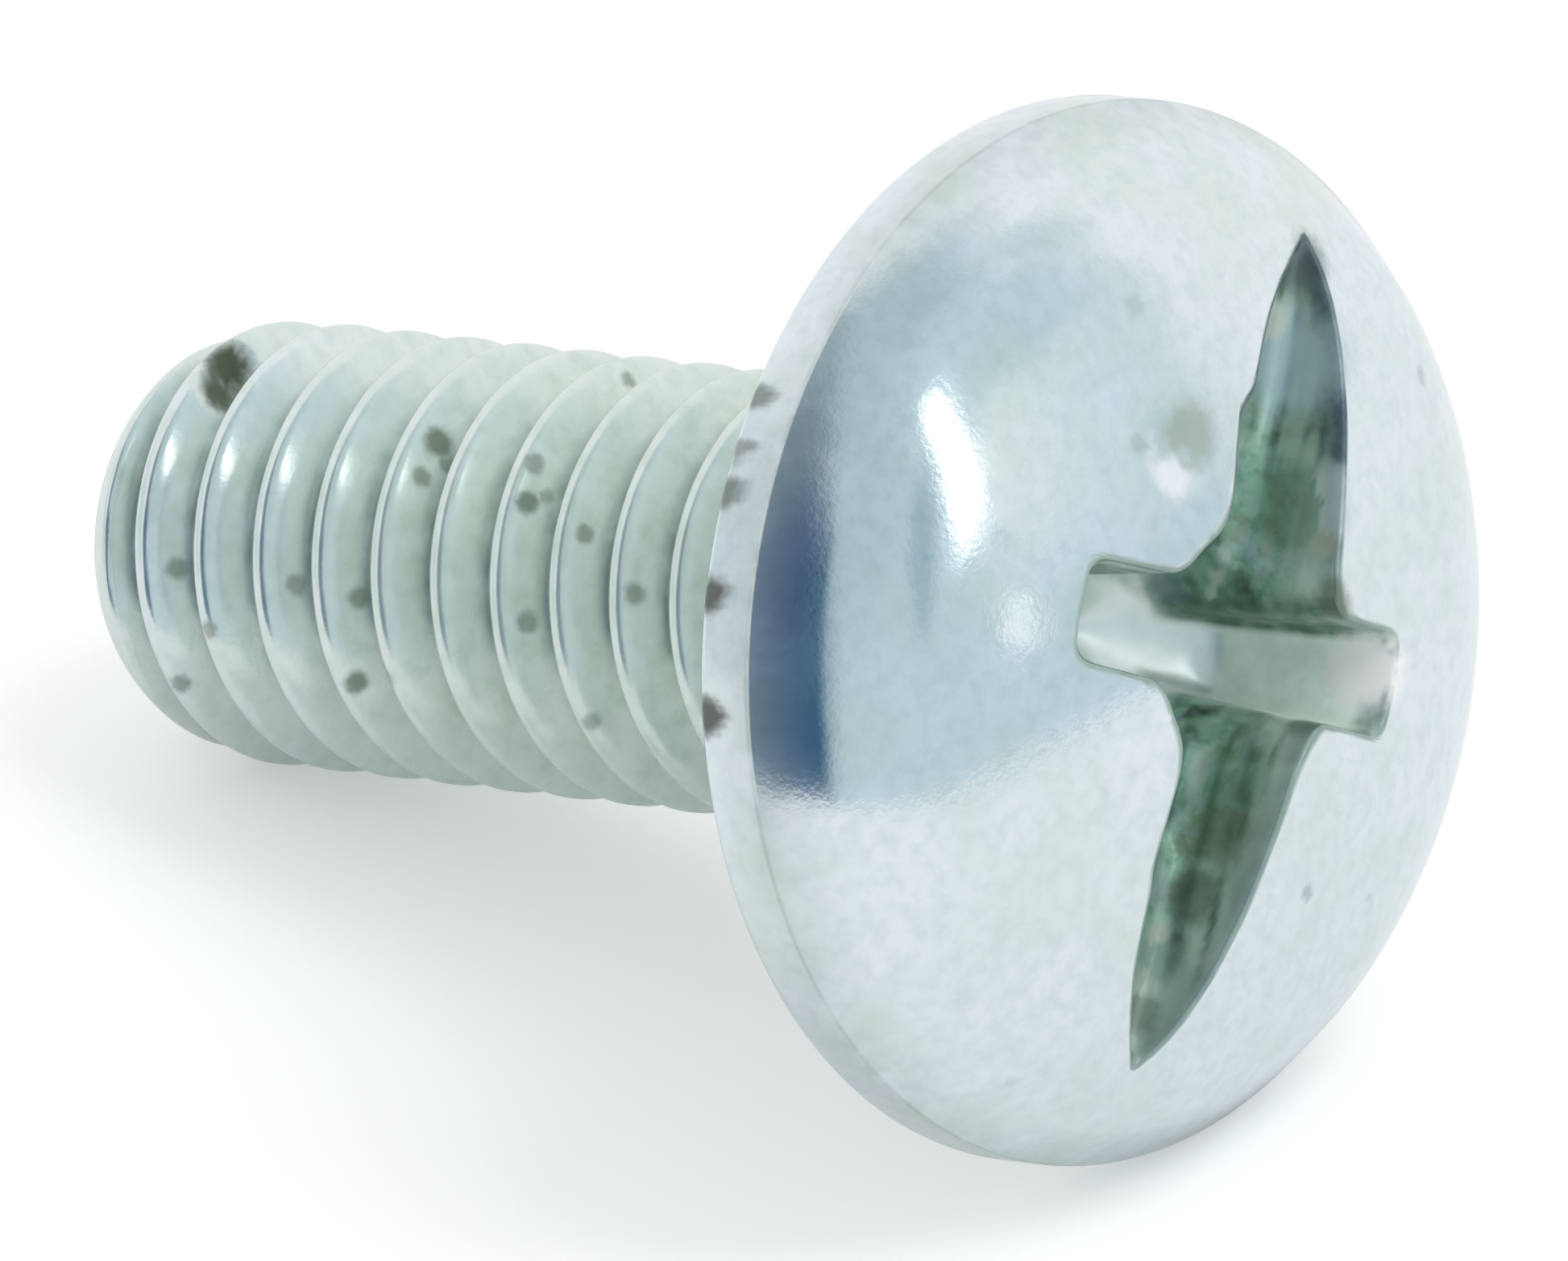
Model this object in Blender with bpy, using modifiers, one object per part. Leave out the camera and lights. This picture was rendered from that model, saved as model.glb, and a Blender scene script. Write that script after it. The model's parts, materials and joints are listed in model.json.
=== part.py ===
"""A truss-head machine screw with a combined slot and cross recess, lying at rest.

The screw is one solid. Its head is forged, the cross and the slot are struck into the crown,
and the thread is rolled up to the head. It is modelled about its own axis, with the bearing face
at zero, the head upwards and the thread downwards. Then it is laid on the rim of its head
and the rounded end of its thread, the way a dropped screw comes to rest.
"""

from math import acos, asin, cos, hypot, pi, radians, sin, sqrt, tan

import bmesh
import bpy
from mathutils import Matrix, Vector

MM = 0.001

# Thread: right-hand metric coarse, rolled
THREAD_DIAMETER = 3.94 * MM
THREAD_PITCH = 0.70 * MM
THREAD_FLANK_ANGLE = radians(30)
CREST_WIDTH = THREAD_PITCH / 8
THREAD_DEPTH = 0.6134 * THREAD_PITCH
GROOVE_START = -0.05 * MM

# Shank
SHANK_LENGTH = 10.05 * MM
END_FACE_DIAMETER = 2.44 * MM
END_ROUNDING = 1.35 * MM
NECK_LENGTH = 0.85 * MM
RUN_OUT = 0.70 * MM
NECK_FILLET = 0.20 * MM

# Head: the crown's arc, run on without its shoulder, would stand at the edge height over the rim
HEAD_DIAMETER = 9.20 * MM
HEAD_HEIGHT = 2.30 * MM
RIM_HEIGHT = 0.57 * MM
CROWN_EDGE_HEIGHT = 1.112 * MM
SHOULDER_RADIUS = 2.60 * MM
RIM_LOWER_EDGE = 0.10 * MM
RIM_UPPER_EDGE = 0.12 * MM

# Cross recess, with four wings that taper towards the bottom
CROSS_SPAN = 4.10 * MM
WING_WIDTH = 0.88 * MM
CROSS_DEPTH = 1.72 * MM
WING_END_TAPER = radians(26.5)
WING_SIDE_DRAFT = radians(4)
BOTTOM_CONE_ANGLE = radians(138)
HUB_DIAMETER = 2.16 * MM
HUB_DRAFT = radians(10)
CROSS_TURN = radians(-33.2)

# Slot, boat-shaped in plan, which lies a little off the axis and off square to the cross
SLOT_LENGTH = 7.30 * MM
SLOT_WIDTH = 1.30 * MM
SLOT_DEPTH = 0.95 * MM
SLOT_SIDE_DRAFT = radians(17)
SLOT_END_POWER = 6
SLOT_TURN = radians(-2.4)
SLOT_OFFSET = 0.20 * MM

# Small round dimple beside the recess
DIMPLE_DIAMETER = 0.70 * MM
DIMPLE_DEPTH = 0.11 * MM
DIMPLE_FROM_AXIS = 1.94 * MM
DIMPLE_TURN = radians(221)

# Faceting and working allowances
FACETS = 48
CROWN_STEPS = 7
SHOULDER_STEPS = 6
ARC_STEPS = 3
END_STEPS = 6
SLOT_STEPS = 24
DIMPLE_SEGMENTS = 20
DIMPLE_RINGS = 16
SPARE_TURNS = 4
CLEAR = 0.03 * MM
OVERCUT = 0.60 * MM
WELD = 0.0005 * MM
TILT_LIMIT = radians(45)
TILT_TOLERANCE = 1e-9
POINT_TOLERANCE = 1e-5

THREAD_RADIUS = THREAD_DIAMETER / 2
ROOT_RADIUS = THREAD_RADIUS - THREAD_DEPTH
NECK_RADIUS = THREAD_RADIUS - THREAD_DEPTH / 2
HEAD_RADIUS = HEAD_DIAMETER / 2
CROWN_DROP = HEAD_HEIGHT - CROWN_EDGE_HEIGHT
CROWN_RADIUS = (HEAD_RADIUS ** 2 + CROWN_DROP ** 2) / (2 * CROWN_DROP)


def clear_scene():
    """Remove whatever the scene holds."""
    for thing in list(bpy.data.objects):
        bpy.data.objects.remove(thing, do_unlink=True)


def new_collection(name):
    """Make a collection and link it to the scene."""
    collection = bpy.data.collections.new(name)
    bpy.context.scene.collection.children.link(collection)
    return collection


def new_object(name, bm, collection):
    """Turn a bmesh into an object of the same name."""
    mesh = bpy.data.meshes.new(name)
    bm.to_mesh(mesh)
    bm.free()
    thing = bpy.data.objects.new(name, mesh)
    collection.objects.link(thing)
    return thing


def arc(centre, radius, start, end, steps):
    """Points (radius, height) along an arc; angles are measured from the head axis."""
    turns = [start + (end - start) * i / steps for i in range(steps + 1)]
    return [(centre[0] + radius * sin(t), centre[1] + radius * cos(t)) for t in turns]


def turned(name, profile, collection):
    """Spin a profile of (radius, height) points, listed down its outer side, round the axis.

    The first facet is centred on +X, so that the finished screw lies on a flat.
    """
    bm = bmesh.new()
    half_facet = pi / FACETS
    points = [bm.verts.new((r * cos(half_facet), r * sin(half_facet), z)) for r, z in profile]
    for upper, lower in zip(points, points[1:]):
        bm.edges.new((upper, lower))
    thing = new_object(name, bm, collection)
    screw = thing.modifiers.new("turn", "SCREW")
    screw.steps = FACETS
    screw.render_steps = FACETS
    screw.use_merge_vertices = True
    screw.merge_threshold = WELD
    return thing


def shoulder_centre():
    """Centre of the shoulder arc, which runs from the crown arc to the top of the rim."""
    crown_z = HEAD_HEIGHT - CROWN_RADIUS
    rise = RIM_HEIGHT - crown_z
    reach = hypot(HEAD_RADIUS, rise)
    inner = CROWN_RADIUS - SHOULDER_RADIUS
    along = (inner ** 2 - SHOULDER_RADIUS ** 2 + reach ** 2) / (2 * reach)
    aside = sqrt(inner ** 2 - along ** 2)
    unit_r, unit_z = HEAD_RADIUS / reach, rise / reach
    return along * unit_r - aside * unit_z, crown_z + along * unit_z + aside * unit_r


def dome_height(radius):
    """Height of the dome over the bearing face, at a distance from the axis."""
    centre_r, centre_z = shoulder_centre()
    crown_z = HEAD_HEIGHT - CROWN_RADIUS
    join = CROWN_RADIUS * centre_r / (CROWN_RADIUS - SHOULDER_RADIUS)
    if radius <= join:
        return crown_z + sqrt(CROWN_RADIUS ** 2 - radius ** 2)
    return centre_z + sqrt(SHOULDER_RADIUS ** 2 - (radius - centre_r) ** 2)


def head_profile():
    """Outline of the head, from the middle of the crown down to the bearing face."""
    centre = shoulder_centre()
    crown_z = HEAD_HEIGHT - CROWN_RADIUS
    join_angle = asin(centre[0] / (CROWN_RADIUS - SHOULDER_RADIUS))
    edge = RIM_UPPER_EDGE
    edge_r, edge_z = HEAD_RADIUS - edge, edge_height(centre, edge)
    rim_angle = acos((edge_z - centre[1]) / (SHOULDER_RADIUS - edge))
    lower = RIM_LOWER_EDGE
    points = arc((0, crown_z), CROWN_RADIUS, 0, join_angle, CROWN_STEPS)
    points += arc(centre, SHOULDER_RADIUS, join_angle, rim_angle, SHOULDER_STEPS)[1:]
    points += arc((edge_r, edge_z), edge, rim_angle, pi / 2, ARC_STEPS)[1:]
    points += arc((HEAD_RADIUS - lower, lower), lower, pi / 2, pi, ARC_STEPS)
    return points


def edge_height(centre, edge):
    """Height at which an edge arc touches both the shoulder arc and the side of the rim."""
    inner = SHOULDER_RADIUS - edge
    return centre[1] + sqrt(inner ** 2 - (HEAD_RADIUS - edge - centre[0]) ** 2)


def neck_profile():
    """Outline of the plain neck: the fillet under the head and a cone that ends in the root."""
    fillet = arc((NECK_RADIUS + NECK_FILLET, -NECK_FILLET), NECK_FILLET, 0, -pi / 2, ARC_STEPS)
    cone_end = -(NECK_LENGTH + RUN_OUT)
    inside_root = ROOT_RADIUS - CLEAR
    return fillet + [(NECK_RADIUS, -NECK_LENGTH), (inside_root, cone_end), (0, cone_end)]


def end_profile():
    """Outline of the rounded thread end, from the full thread down to the flat end face."""
    outer = THREAD_RADIUS + CLEAR
    face = END_FACE_DIAMETER / 2
    turns = [pi / 2 * i / END_STEPS for i in range(END_STEPS + 1)]
    start = END_ROUNDING - SHANK_LENGTH
    return [(face + (outer - face) * cos(t), start - END_ROUNDING * sin(t)) for t in turns]


def touching_outlines():
    """Outer points of the rim and of the thread end, where the lying screw can touch a floor."""
    rim = [(r, z) for r, z in head_profile() if r > NECK_RADIUS]
    end = [(min(r, THREAD_RADIUS), z) for r, z in end_profile()]
    return rim, end


def make_blank(collection):
    """The head and its neck, as one turned solid."""
    return turned("truss_screw", head_profile() + neck_profile(), collection)


def make_thread(collection):
    """The thread: one pitch of its section spun along the axis, then capped at both ends."""
    flank = THREAD_DEPTH * tan(THREAD_FLANK_ANGLE)
    root = THREAD_PITCH - CREST_WIDTH - 2 * flank
    turns = int(SHANK_LENGTH / THREAD_PITCH) + SPARE_TURNS
    first = GROOVE_START - root / 2 - (turns - 1) * THREAD_PITCH
    section = [
        (ROOT_RADIUS, first),
        (ROOT_RADIUS, first + root),
        (THREAD_RADIUS, first + root + flank),
        (THREAD_RADIUS, first + root + flank + CREST_WIDTH),
        (ROOT_RADIUS, first + THREAD_PITCH),
    ]
    half_facet = pi / FACETS
    bm = bmesh.new()
    points = [bm.verts.new((r * cos(half_facet), r * sin(half_facet), z)) for r, z in section]
    edges = [bm.edges.new(pair) for pair in zip(points, points[1:])]
    bmesh.ops.spin(
        bm,
        geom=points + edges,
        axis=(0, 0, 1),
        cent=(0, 0, 0),
        dvec=(0, 0, THREAD_PITCH / FACETS),
        angle=2 * pi * turns,
        steps=FACETS * turns,
    )
    bmesh.ops.remove_doubles(bm, verts=bm.verts, dist=WELD)
    middle = first + (turns + 1) * THREAD_PITCH / 2
    rim = [edge for edge in bm.edges if edge.is_boundary]
    for below in (True, False):
        loop = [e for e in rim if (e.verts[0].co.z < middle) == below]
        cap_to_axis(bm, loop)
    bmesh.ops.recalc_face_normals(bm, faces=bm.faces)
    return new_object("thread_helix", bm, collection)


def cap_to_axis(bm, loop):
    """Close a ring of edges with a fan that meets on the axis."""
    heights = [v.co.z for edge in loop for v in edge.verts]
    made = bmesh.ops.extrude_edge_only(bm, edges=loop)
    tips = [item for item in made["geom"] if isinstance(item, bmesh.types.BMVert)]
    bmesh.ops.pointmerge(bm, verts=tips, merge_co=(0, 0, (min(heights) + max(heights)) / 2))


def make_envelope(collection):
    """The outer form that the thread keeps: its rounded end, and its run-out into the neck."""
    top = -NECK_LENGTH
    outer = THREAD_RADIUS + CLEAR
    inside_neck = NECK_RADIUS - CLEAR
    profile = [(0, top + RUN_OUT / 2), (inside_neck, top + RUN_OUT / 2), (outer, top - RUN_OUT / 2)]
    return turned("thread_envelope", profile + end_profile() + [(0, -SHANK_LENGTH)], collection)


def make_recess_punch(collection):
    """The punch: a tapered cone that keeps only its four wings and hub, and the slot's blade.

    Its drafted walls cross at very small angles, where the exact solver fails at some sizes.
    """
    span_height = dome_height(CROSS_SPAN / 2)
    top = HEAD_HEIGHT + OVERCUT
    floor = HEAD_HEIGHT - CROSS_DEPTH
    top_radius = CROSS_SPAN / 2 + (top - span_height) * tan(WING_END_TAPER)
    floor_radius = CROSS_SPAN / 2 - (span_height - floor) * tan(WING_END_TAPER)
    tip = floor - floor_radius / tan(BOTTOM_CONE_ANGLE / 2)
    profile = [(0, top), (top_radius, top), (floor_radius, floor), (0, tip)]
    cone = turned("cross_cone", profile, collection)
    along = make_bar("recess_punch", top + CLEAR, tip - CLEAR, collection)
    across = make_bar("wings_across", top + 2 * CLEAR, tip - 2 * CLEAR, collection)
    across.data.transform(Matrix.Rotation(pi / 2, 4, "Z"))
    hub = make_hub(top + 3 * CLEAR, tip - 3 * CLEAR, collection)
    for piece in (along, across, hub, cone):
        piece.data.transform(Matrix.Rotation(CROSS_TURN, 4, "Z"))
    combine(along, across, "UNION", "MANIFOLD")
    combine(along, hub, "UNION", "MANIFOLD")
    combine(along, cone, "INTERSECT", "MANIFOLD")
    combine(along, make_slot(top + 2 * CLEAR, collection), "UNION", "MANIFOLD")
    return along


def make_bar(name, top, bottom, collection):
    """A bar with drafted sides, which spans two opposite wings."""
    span_height = dome_height(CROSS_SPAN / 2)
    draft = 2 * tan(WING_SIDE_DRAFT)
    bm = bmesh.new()
    bmesh.ops.create_cube(bm, size=1)
    for vert in bm.verts:
        height = top if vert.co.z > 0 else bottom
        vert.co.x *= 2 * CROSS_SPAN
        vert.co.y *= WING_WIDTH + (height - span_height) * draft
        vert.co.z = height
    return new_object(name, bm, collection)


def make_hub(top, bottom, collection):
    """The middle of the cross, which rounds off the corners between its wings."""
    surface = dome_height(HUB_DIAMETER / 2)
    top_radius = HUB_DIAMETER / 2 + (top - surface) * tan(HUB_DRAFT)
    bottom_radius = HUB_DIAMETER / 2 - (surface - bottom) * tan(HUB_DRAFT)
    return turned("hub", [(0, top), (top_radius, top), (bottom_radius, bottom), (0, bottom)], collection)


def make_slot(top, collection):
    """The slot's blade, boat-shaped with drafted sides and pointed ends."""
    floor = HEAD_HEIGHT - SLOT_DEPTH
    side_height = dome_height(SLOT_LENGTH / 4)
    end_height = dome_height(SLOT_LENGTH / 2)
    draft = tan(SLOT_SIDE_DRAFT)
    bm = bmesh.new()
    bmesh.ops.create_cone(bm, cap_ends=True, segments=2 * SLOT_STEPS, radius1=1, radius2=1, depth=1)
    for vert in bm.verts:
        height = top if vert.co.z > 0 else floor
        half_length = SLOT_LENGTH / 2 + (height - end_height) * draft
        half_width = SLOT_WIDTH / 2 + (height - side_height) * draft
        taper = 1 - min(abs(vert.co.x), 1) ** SLOT_END_POWER
        side = 0 if taper < POINT_TOLERANCE else (1 if vert.co.y > 0 else -1)
        vert.co = (half_length * vert.co.x, half_width * taper * side, height)
    bmesh.ops.triangulate(bm, faces=bm.faces)
    bmesh.ops.translate(bm, verts=bm.verts, vec=(0, SLOT_OFFSET, 0))
    bmesh.ops.rotate(bm, verts=bm.verts, matrix=Matrix.Rotation(CROSS_TURN + SLOT_TURN, 3, "Z"))
    return new_object("slot_blade", bm, collection)


def make_dimple(collection):
    """The round dimple, as a ball that dips into the crown."""
    half = DIMPLE_DIAMETER / 2
    ball = (half ** 2 + DIMPLE_DEPTH ** 2) / (2 * DIMPLE_DEPTH)
    slope = asin(DIMPLE_FROM_AXIS / CROWN_RADIUS)
    lift = CROWN_RADIUS + ball - DIMPLE_DEPTH
    bm = bmesh.new()
    bmesh.ops.create_uvsphere(bm, u_segments=DIMPLE_SEGMENTS, v_segments=DIMPLE_RINGS, radius=ball)
    bmesh.ops.translate(bm, verts=bm.verts, vec=(0, 0, lift))
    bmesh.ops.rotate(bm, verts=bm.verts, matrix=Matrix.Rotation(slope, 3, "Y"))
    bmesh.ops.rotate(bm, verts=bm.verts, matrix=Matrix.Rotation(CROSS_TURN + DIMPLE_TURN, 3, "Z"))
    bmesh.ops.translate(bm, verts=bm.verts, vec=(0, 0, HEAD_HEIGHT - CROWN_RADIUS))
    return new_object("dimple_cutter", bm, collection)


def combine(target, other, operation, solver="EXACT"):
    """Join, cut or trim a solid with another one."""
    boolean = target.modifiers.new(other.name, "BOOLEAN")
    boolean.operation = operation
    boolean.object = other
    boolean.solver = solver
    other.display_type = "WIRE"
    other.hide_render = True


def rest_tilt():
    """Angle of the axis to the floor when the rim and the thread end both touch it."""
    rim, end = touching_outlines()
    low, high = 0.0, TILT_LIMIT
    while high - low > TILT_TOLERANCE:
        middle = (low + high) / 2
        slope = tan(middle)
        rim_reach = max(r - slope * z for r, z in rim)
        end_reach = max(r - slope * z for r, z in end)
        if rim_reach > end_reach:
            low = middle
        else:
            high = middle
    return low


def lay_down(screw):
    """Lay the screw on its rim and thread end, with the head towards +X, centred over the origin."""
    tilt = rest_tilt()
    flat = cos(pi / FACETS)
    rim, end = touching_outlines()
    outline = [(r * flat, z) for r, z in rim + end]
    drop = max(r * cos(tilt) - z * sin(tilt) for r, z in outline)
    front = max(z * cos(tilt) + r * sin(tilt) for r, z in outline)
    back = min(z * cos(tilt) - r * sin(tilt) for r, z in outline)
    screw.rotation_euler = (0, pi / 2 - tilt, 0)
    screw.location = Vector((-(front + back) / 2, 0, drop))


def zinc_plate():
    """Bright zinc plating over steel, with a faint blue-green cast."""
    material = bpy.data.materials.new("bright_zinc_plate")
    material.use_nodes = True
    shader = material.node_tree.nodes["Principled BSDF"]
    shader.inputs["Base Color"].default_value = (0.60, 0.68, 0.68, 1)
    shader.inputs["Metallic"].default_value = 1.0
    shader.inputs["Roughness"].default_value = 0.32
    return material


def main():
    """Build the screw and lay it down."""
    clear_scene()
    parts = new_collection("truss_screw")
    cutters = new_collection("truss_screw_cutters")
    thread = make_thread(cutters)
    combine(thread, make_envelope(cutters), "INTERSECT")
    screw = make_blank(parts)
    combine(screw, thread, "UNION")
    for tool in (make_recess_punch(cutters), make_dimple(cutters)):
        combine(screw, tool, "DIFFERENCE", "MANIFOLD")
    for cutter in cutters.objects:
        cutter.parent = screw
    screw.data.shade_smooth()
    screw.data.materials.append(zinc_plate())
    lay_down(screw)


main()
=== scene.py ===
"""Looks of a zinc-plated truss-head machine screw that lies on a pale studio floor.

The screw is one closed mesh. Its head starts as a disc of rings that is drawn over the dome, the
cross, the slot and the rim, and its shank starts as a disc that is drawn over the rounded end, the
thread and the neck. The two meet on the flat bearing face.

Lengths are millimetres on the screw's own axis, with the bearing face at zero and the head
upwards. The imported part's bearing face says where that axis lies, and the finished mesh is moved
there in metres.
"""

import json
import logging
from dataclasses import dataclass, field
from enum import Enum
from math import acos, asin, atan2, cos, degrees, hypot, pi, radians, sin, sqrt, tan

import bmesh
import bpy
import numpy as np
from mathutils import Matrix, Vector, noise


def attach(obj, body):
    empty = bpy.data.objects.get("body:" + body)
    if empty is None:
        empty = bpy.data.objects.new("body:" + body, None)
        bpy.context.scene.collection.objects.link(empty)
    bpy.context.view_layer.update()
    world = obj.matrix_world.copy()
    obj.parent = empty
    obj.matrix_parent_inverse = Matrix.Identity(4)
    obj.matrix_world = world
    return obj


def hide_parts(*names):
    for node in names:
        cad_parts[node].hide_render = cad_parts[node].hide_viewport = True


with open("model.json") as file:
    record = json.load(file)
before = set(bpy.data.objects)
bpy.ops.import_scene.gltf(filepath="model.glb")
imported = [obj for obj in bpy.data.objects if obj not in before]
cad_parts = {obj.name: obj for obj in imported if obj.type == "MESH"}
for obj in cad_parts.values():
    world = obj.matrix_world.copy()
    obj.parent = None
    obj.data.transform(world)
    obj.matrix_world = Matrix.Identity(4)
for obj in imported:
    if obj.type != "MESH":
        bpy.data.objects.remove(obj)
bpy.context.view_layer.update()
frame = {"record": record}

MM = 0.001
NODE = "truss_screw"
BODY = "root"
FACE_MARGIN = 0.02
SPOT_COLOUR = "spot_colour"

Points = tuple[np.ndarray, np.ndarray, np.ndarray]

log = logging.getLogger("screw")


def linear(hex_colour: str) -> tuple[float, float, float, float]:
    """Turn an sRGB hex colour into the linear colour that a node's socket takes.

    Args:
        hex_colour: Six hex digits after a hash sign.

    Returns:
        Linear red, green and blue, and an alpha of one.
    """
    channels = [int(hex_colour[i:i + 2], 16) / 255 for i in (1, 3, 5)]
    curve = [c / 12.92 if c <= 0.04045 else ((c + 0.055) / 1.055) ** 2.4 for c in channels]
    return (curve[0], curve[1], curve[2], 1.0)


def smooth_min(a: np.ndarray, b: np.ndarray, width: float) -> np.ndarray:
    """Return the lesser of two distances, with a round blend where they are nearly equal.

    Args:
        a: Signed distances to one shape.
        b: Signed distances to another shape.
        width: Difference over which the two blend.

    Returns:
        Signed distances to both shapes joined with a fillet.
    """
    share = np.maximum(width - np.abs(a - b), 0) / width
    return np.minimum(a, b) - share ** 2 * width / 4


def smooth_max(a: np.ndarray, b: np.ndarray, width: float) -> np.ndarray:
    """Return the greater of two distances, with a round blend where they are nearly equal.

    Args:
        a: Signed distances to one shape.
        b: Signed distances to another shape.
        width: Difference over which the two blend.

    Returns:
        Signed distances to the shapes' common part, with rounded edges.
    """
    return -smooth_min(-a, -b, width)


def ramp(value: float, low: float, high: float) -> float:
    """Return how far a value lies between two others, from 0 to 1."""
    return min(max((value - low) / (high - low), 0.0), 1.0)


def turned(x: np.ndarray, y: np.ndarray, turn: float) -> tuple[np.ndarray, np.ndarray]:
    """Return how far points of the plan lie along a line through the axis, and across it."""
    return x * cos(turn) + y * sin(turn), y * cos(turn) - x * sin(turn)


def direction(azimuth: float, elevation: float) -> Vector:
    """Return the direction at an azimuth from the front and an elevation, in radians."""
    return Vector((sin(azimuth) * cos(elevation), -cos(azimuth) * cos(elevation), sin(elevation)))


def new_piece(name: str, bm: bmesh.types.BMesh) -> bpy.types.Object:
    """Turn a finished bmesh into an object in the scene.

    Args:
        name: The object's name.
        bm: Its shape, which is used up.

    Returns:
        The object.
    """
    mesh = bpy.data.meshes.new(name)
    bm.to_mesh(mesh)
    bm.free()
    piece = bpy.data.objects.new(name, mesh)
    bpy.context.scene.collection.objects.link(piece)
    return piece


def new_material(name: str) -> bpy.types.Material:
    """Make a material with its nodes switched on.

    Args:
        name: The material's name.

    Returns:
        The material.
    """
    material = bpy.data.materials.new(name)
    material.use_nodes = True
    return material


@dataclass(frozen=True)
class Placement:
    """Where the screw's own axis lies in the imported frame."""

    origin: Vector
    axis: Vector

    @classmethod
    def from_record(cls, record: dict) -> "Placement":
        """Read the axis off the bearing face's mount.

        Args:
            record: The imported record.

        Returns:
            The placement of the screw's axis.
        """
        mount = next(m for m in record["mounts"] if m["name"] == "bearing_face")
        x, _, z = mount["pos_m"]
        return cls(Vector((x, 0, z)), -Vector(mount["axis"]).normalized())

    def matrix(self) -> Matrix:
        """Work out the way from millimetres on the axis to metres in the frame.

        Returns:
            The matrix.
        """
        down = Vector((self.axis.z, 0, -self.axis.x))
        side = Vector((0, 1, 0))
        turn = Matrix((down, side, self.axis)).transposed().to_4x4()
        return Matrix.Translation(self.origin) @ turn @ Matrix.Scale(MM, 4)


@dataclass(frozen=True)
class Dome:
    """The forged head's outline: a wide crown arc, a shoulder arc and an upright rim."""

    head_radius: float = 4.60
    height: float = 2.30
    rim_height: float = 0.57
    crown_edge_height: float = 1.112
    shoulder_radius: float = 2.60
    rim_lower_edge: float = 0.10
    rim_upper_edge: float = 0.12
    edge_steps: int = 6

    @property
    def crown_radius(self) -> float:
        """Return the radius of the crown arc."""
        drop = self.height - self.crown_edge_height
        return (self.head_radius ** 2 + drop ** 2) / (2 * drop)

    @property
    def crown_z(self) -> float:
        """Return the height of the crown arc's centre."""
        return self.height - self.crown_radius

    @property
    def shoulder_centre(self) -> tuple[float, float]:
        """Work out the shoulder arc's centre, from which it meets the crown smoothly.

        Returns:
            Its radius and height.
        """
        rise = self.rim_height - self.crown_z
        reach = hypot(self.head_radius, rise)
        inner = self.crown_radius - self.shoulder_radius
        along = (inner ** 2 - self.shoulder_radius ** 2 + reach ** 2) / (2 * reach)
        aside = sqrt(inner ** 2 - along ** 2)
        unit_r, unit_z = self.head_radius / reach, rise / reach
        return along * unit_r - aside * unit_z, self.crown_z + along * unit_z + aside * unit_r

    @property
    def join_radius(self) -> float:
        """Return the distance from the axis at which the crown meets the shoulder."""
        inner = self.crown_radius - self.shoulder_radius
        return self.crown_radius * self.shoulder_centre[0] / inner

    def surface(self, r: np.ndarray) -> np.ndarray:
        """Work out the dome's height over the bearing face.

        Args:
            r: Distances from the axis.

        Returns:
            Heights.
        """
        centre_r, centre_z = self.shoulder_centre
        crown = self.crown_z + np.sqrt(np.maximum(self.crown_radius ** 2 - r ** 2, 0))
        shoulder = centre_z + np.sqrt(np.maximum(self.shoulder_radius ** 2 - (r - centre_r) ** 2, 0))
        return np.where(r <= self.join_radius, crown, shoulder)

    def normal(self, place: Vector) -> Vector:
        """Work out the bare dome's outward direction.

        Args:
            place: A point near the dome.

        Returns:
            The direction, of length one.
        """
        radius = hypot(place.x, place.y)
        if radius <= self.join_radius:
            return Vector((place.x, place.y, place.z - self.crown_z)).normalized()
        centre_r, centre_z = self.shoulder_centre
        out = (radius - centre_r) / radius
        return Vector((place.x * out, place.y * out, place.z - centre_z)).normalized()

    def distance(self, r: np.ndarray, z: np.ndarray) -> np.ndarray:
        """Work out how far points are from the dome.

        Args:
            r: Their distances from the axis.
            z: Their heights.

        Returns:
            Distances, negative inside the metal.
        """
        centre_r, centre_z = self.shoulder_centre
        from_crown = np.hypot(r, z - self.crown_z) - self.crown_radius
        from_shoulder = np.hypot(r - centre_r, z - centre_z) - self.shoulder_radius
        return np.where(r <= self.join_radius, from_crown, from_shoulder)

    def rim(self) -> list[tuple[float, float]]:
        """Draw the outline from the rim's upper edge round to the bearing face.

        Returns:
            Radius and height of each point.
        """
        centre_r, centre_z = self.shoulder_centre
        edge = self.rim_upper_edge
        edge_r = self.head_radius - edge
        inner = self.shoulder_radius - edge
        edge_z = centre_z + sqrt(inner ** 2 - (edge_r - centre_r) ** 2)
        start = acos((edge_z - centre_z) / inner)
        points = arc((edge_r, edge_z), edge, start, pi / 2, self.edge_steps)
        lower = self.rim_lower_edge
        points += arc((self.head_radius - lower, lower), lower, pi / 2, pi, self.edge_steps)
        return points


def arc(centre: tuple[float, float], radius: float, start: float, end: float,
        steps: int) -> list[tuple[float, float]]:
    """Return points along an arc, as radius and height.

    Args:
        centre: The arc's centre, as radius and height.
        radius: The arc's radius.
        start: First angle from the axis, in radians.
        end: Last angle from the axis, in radians.
        steps: Number of steps along the arc.

    Returns:
        The points from start to end, both included.
    """
    turns = [start + (end - start) * i / steps for i in range(steps + 1)]
    return [(centre[0] + radius * sin(t), centre[1] + radius * cos(t)) for t in turns]


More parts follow.
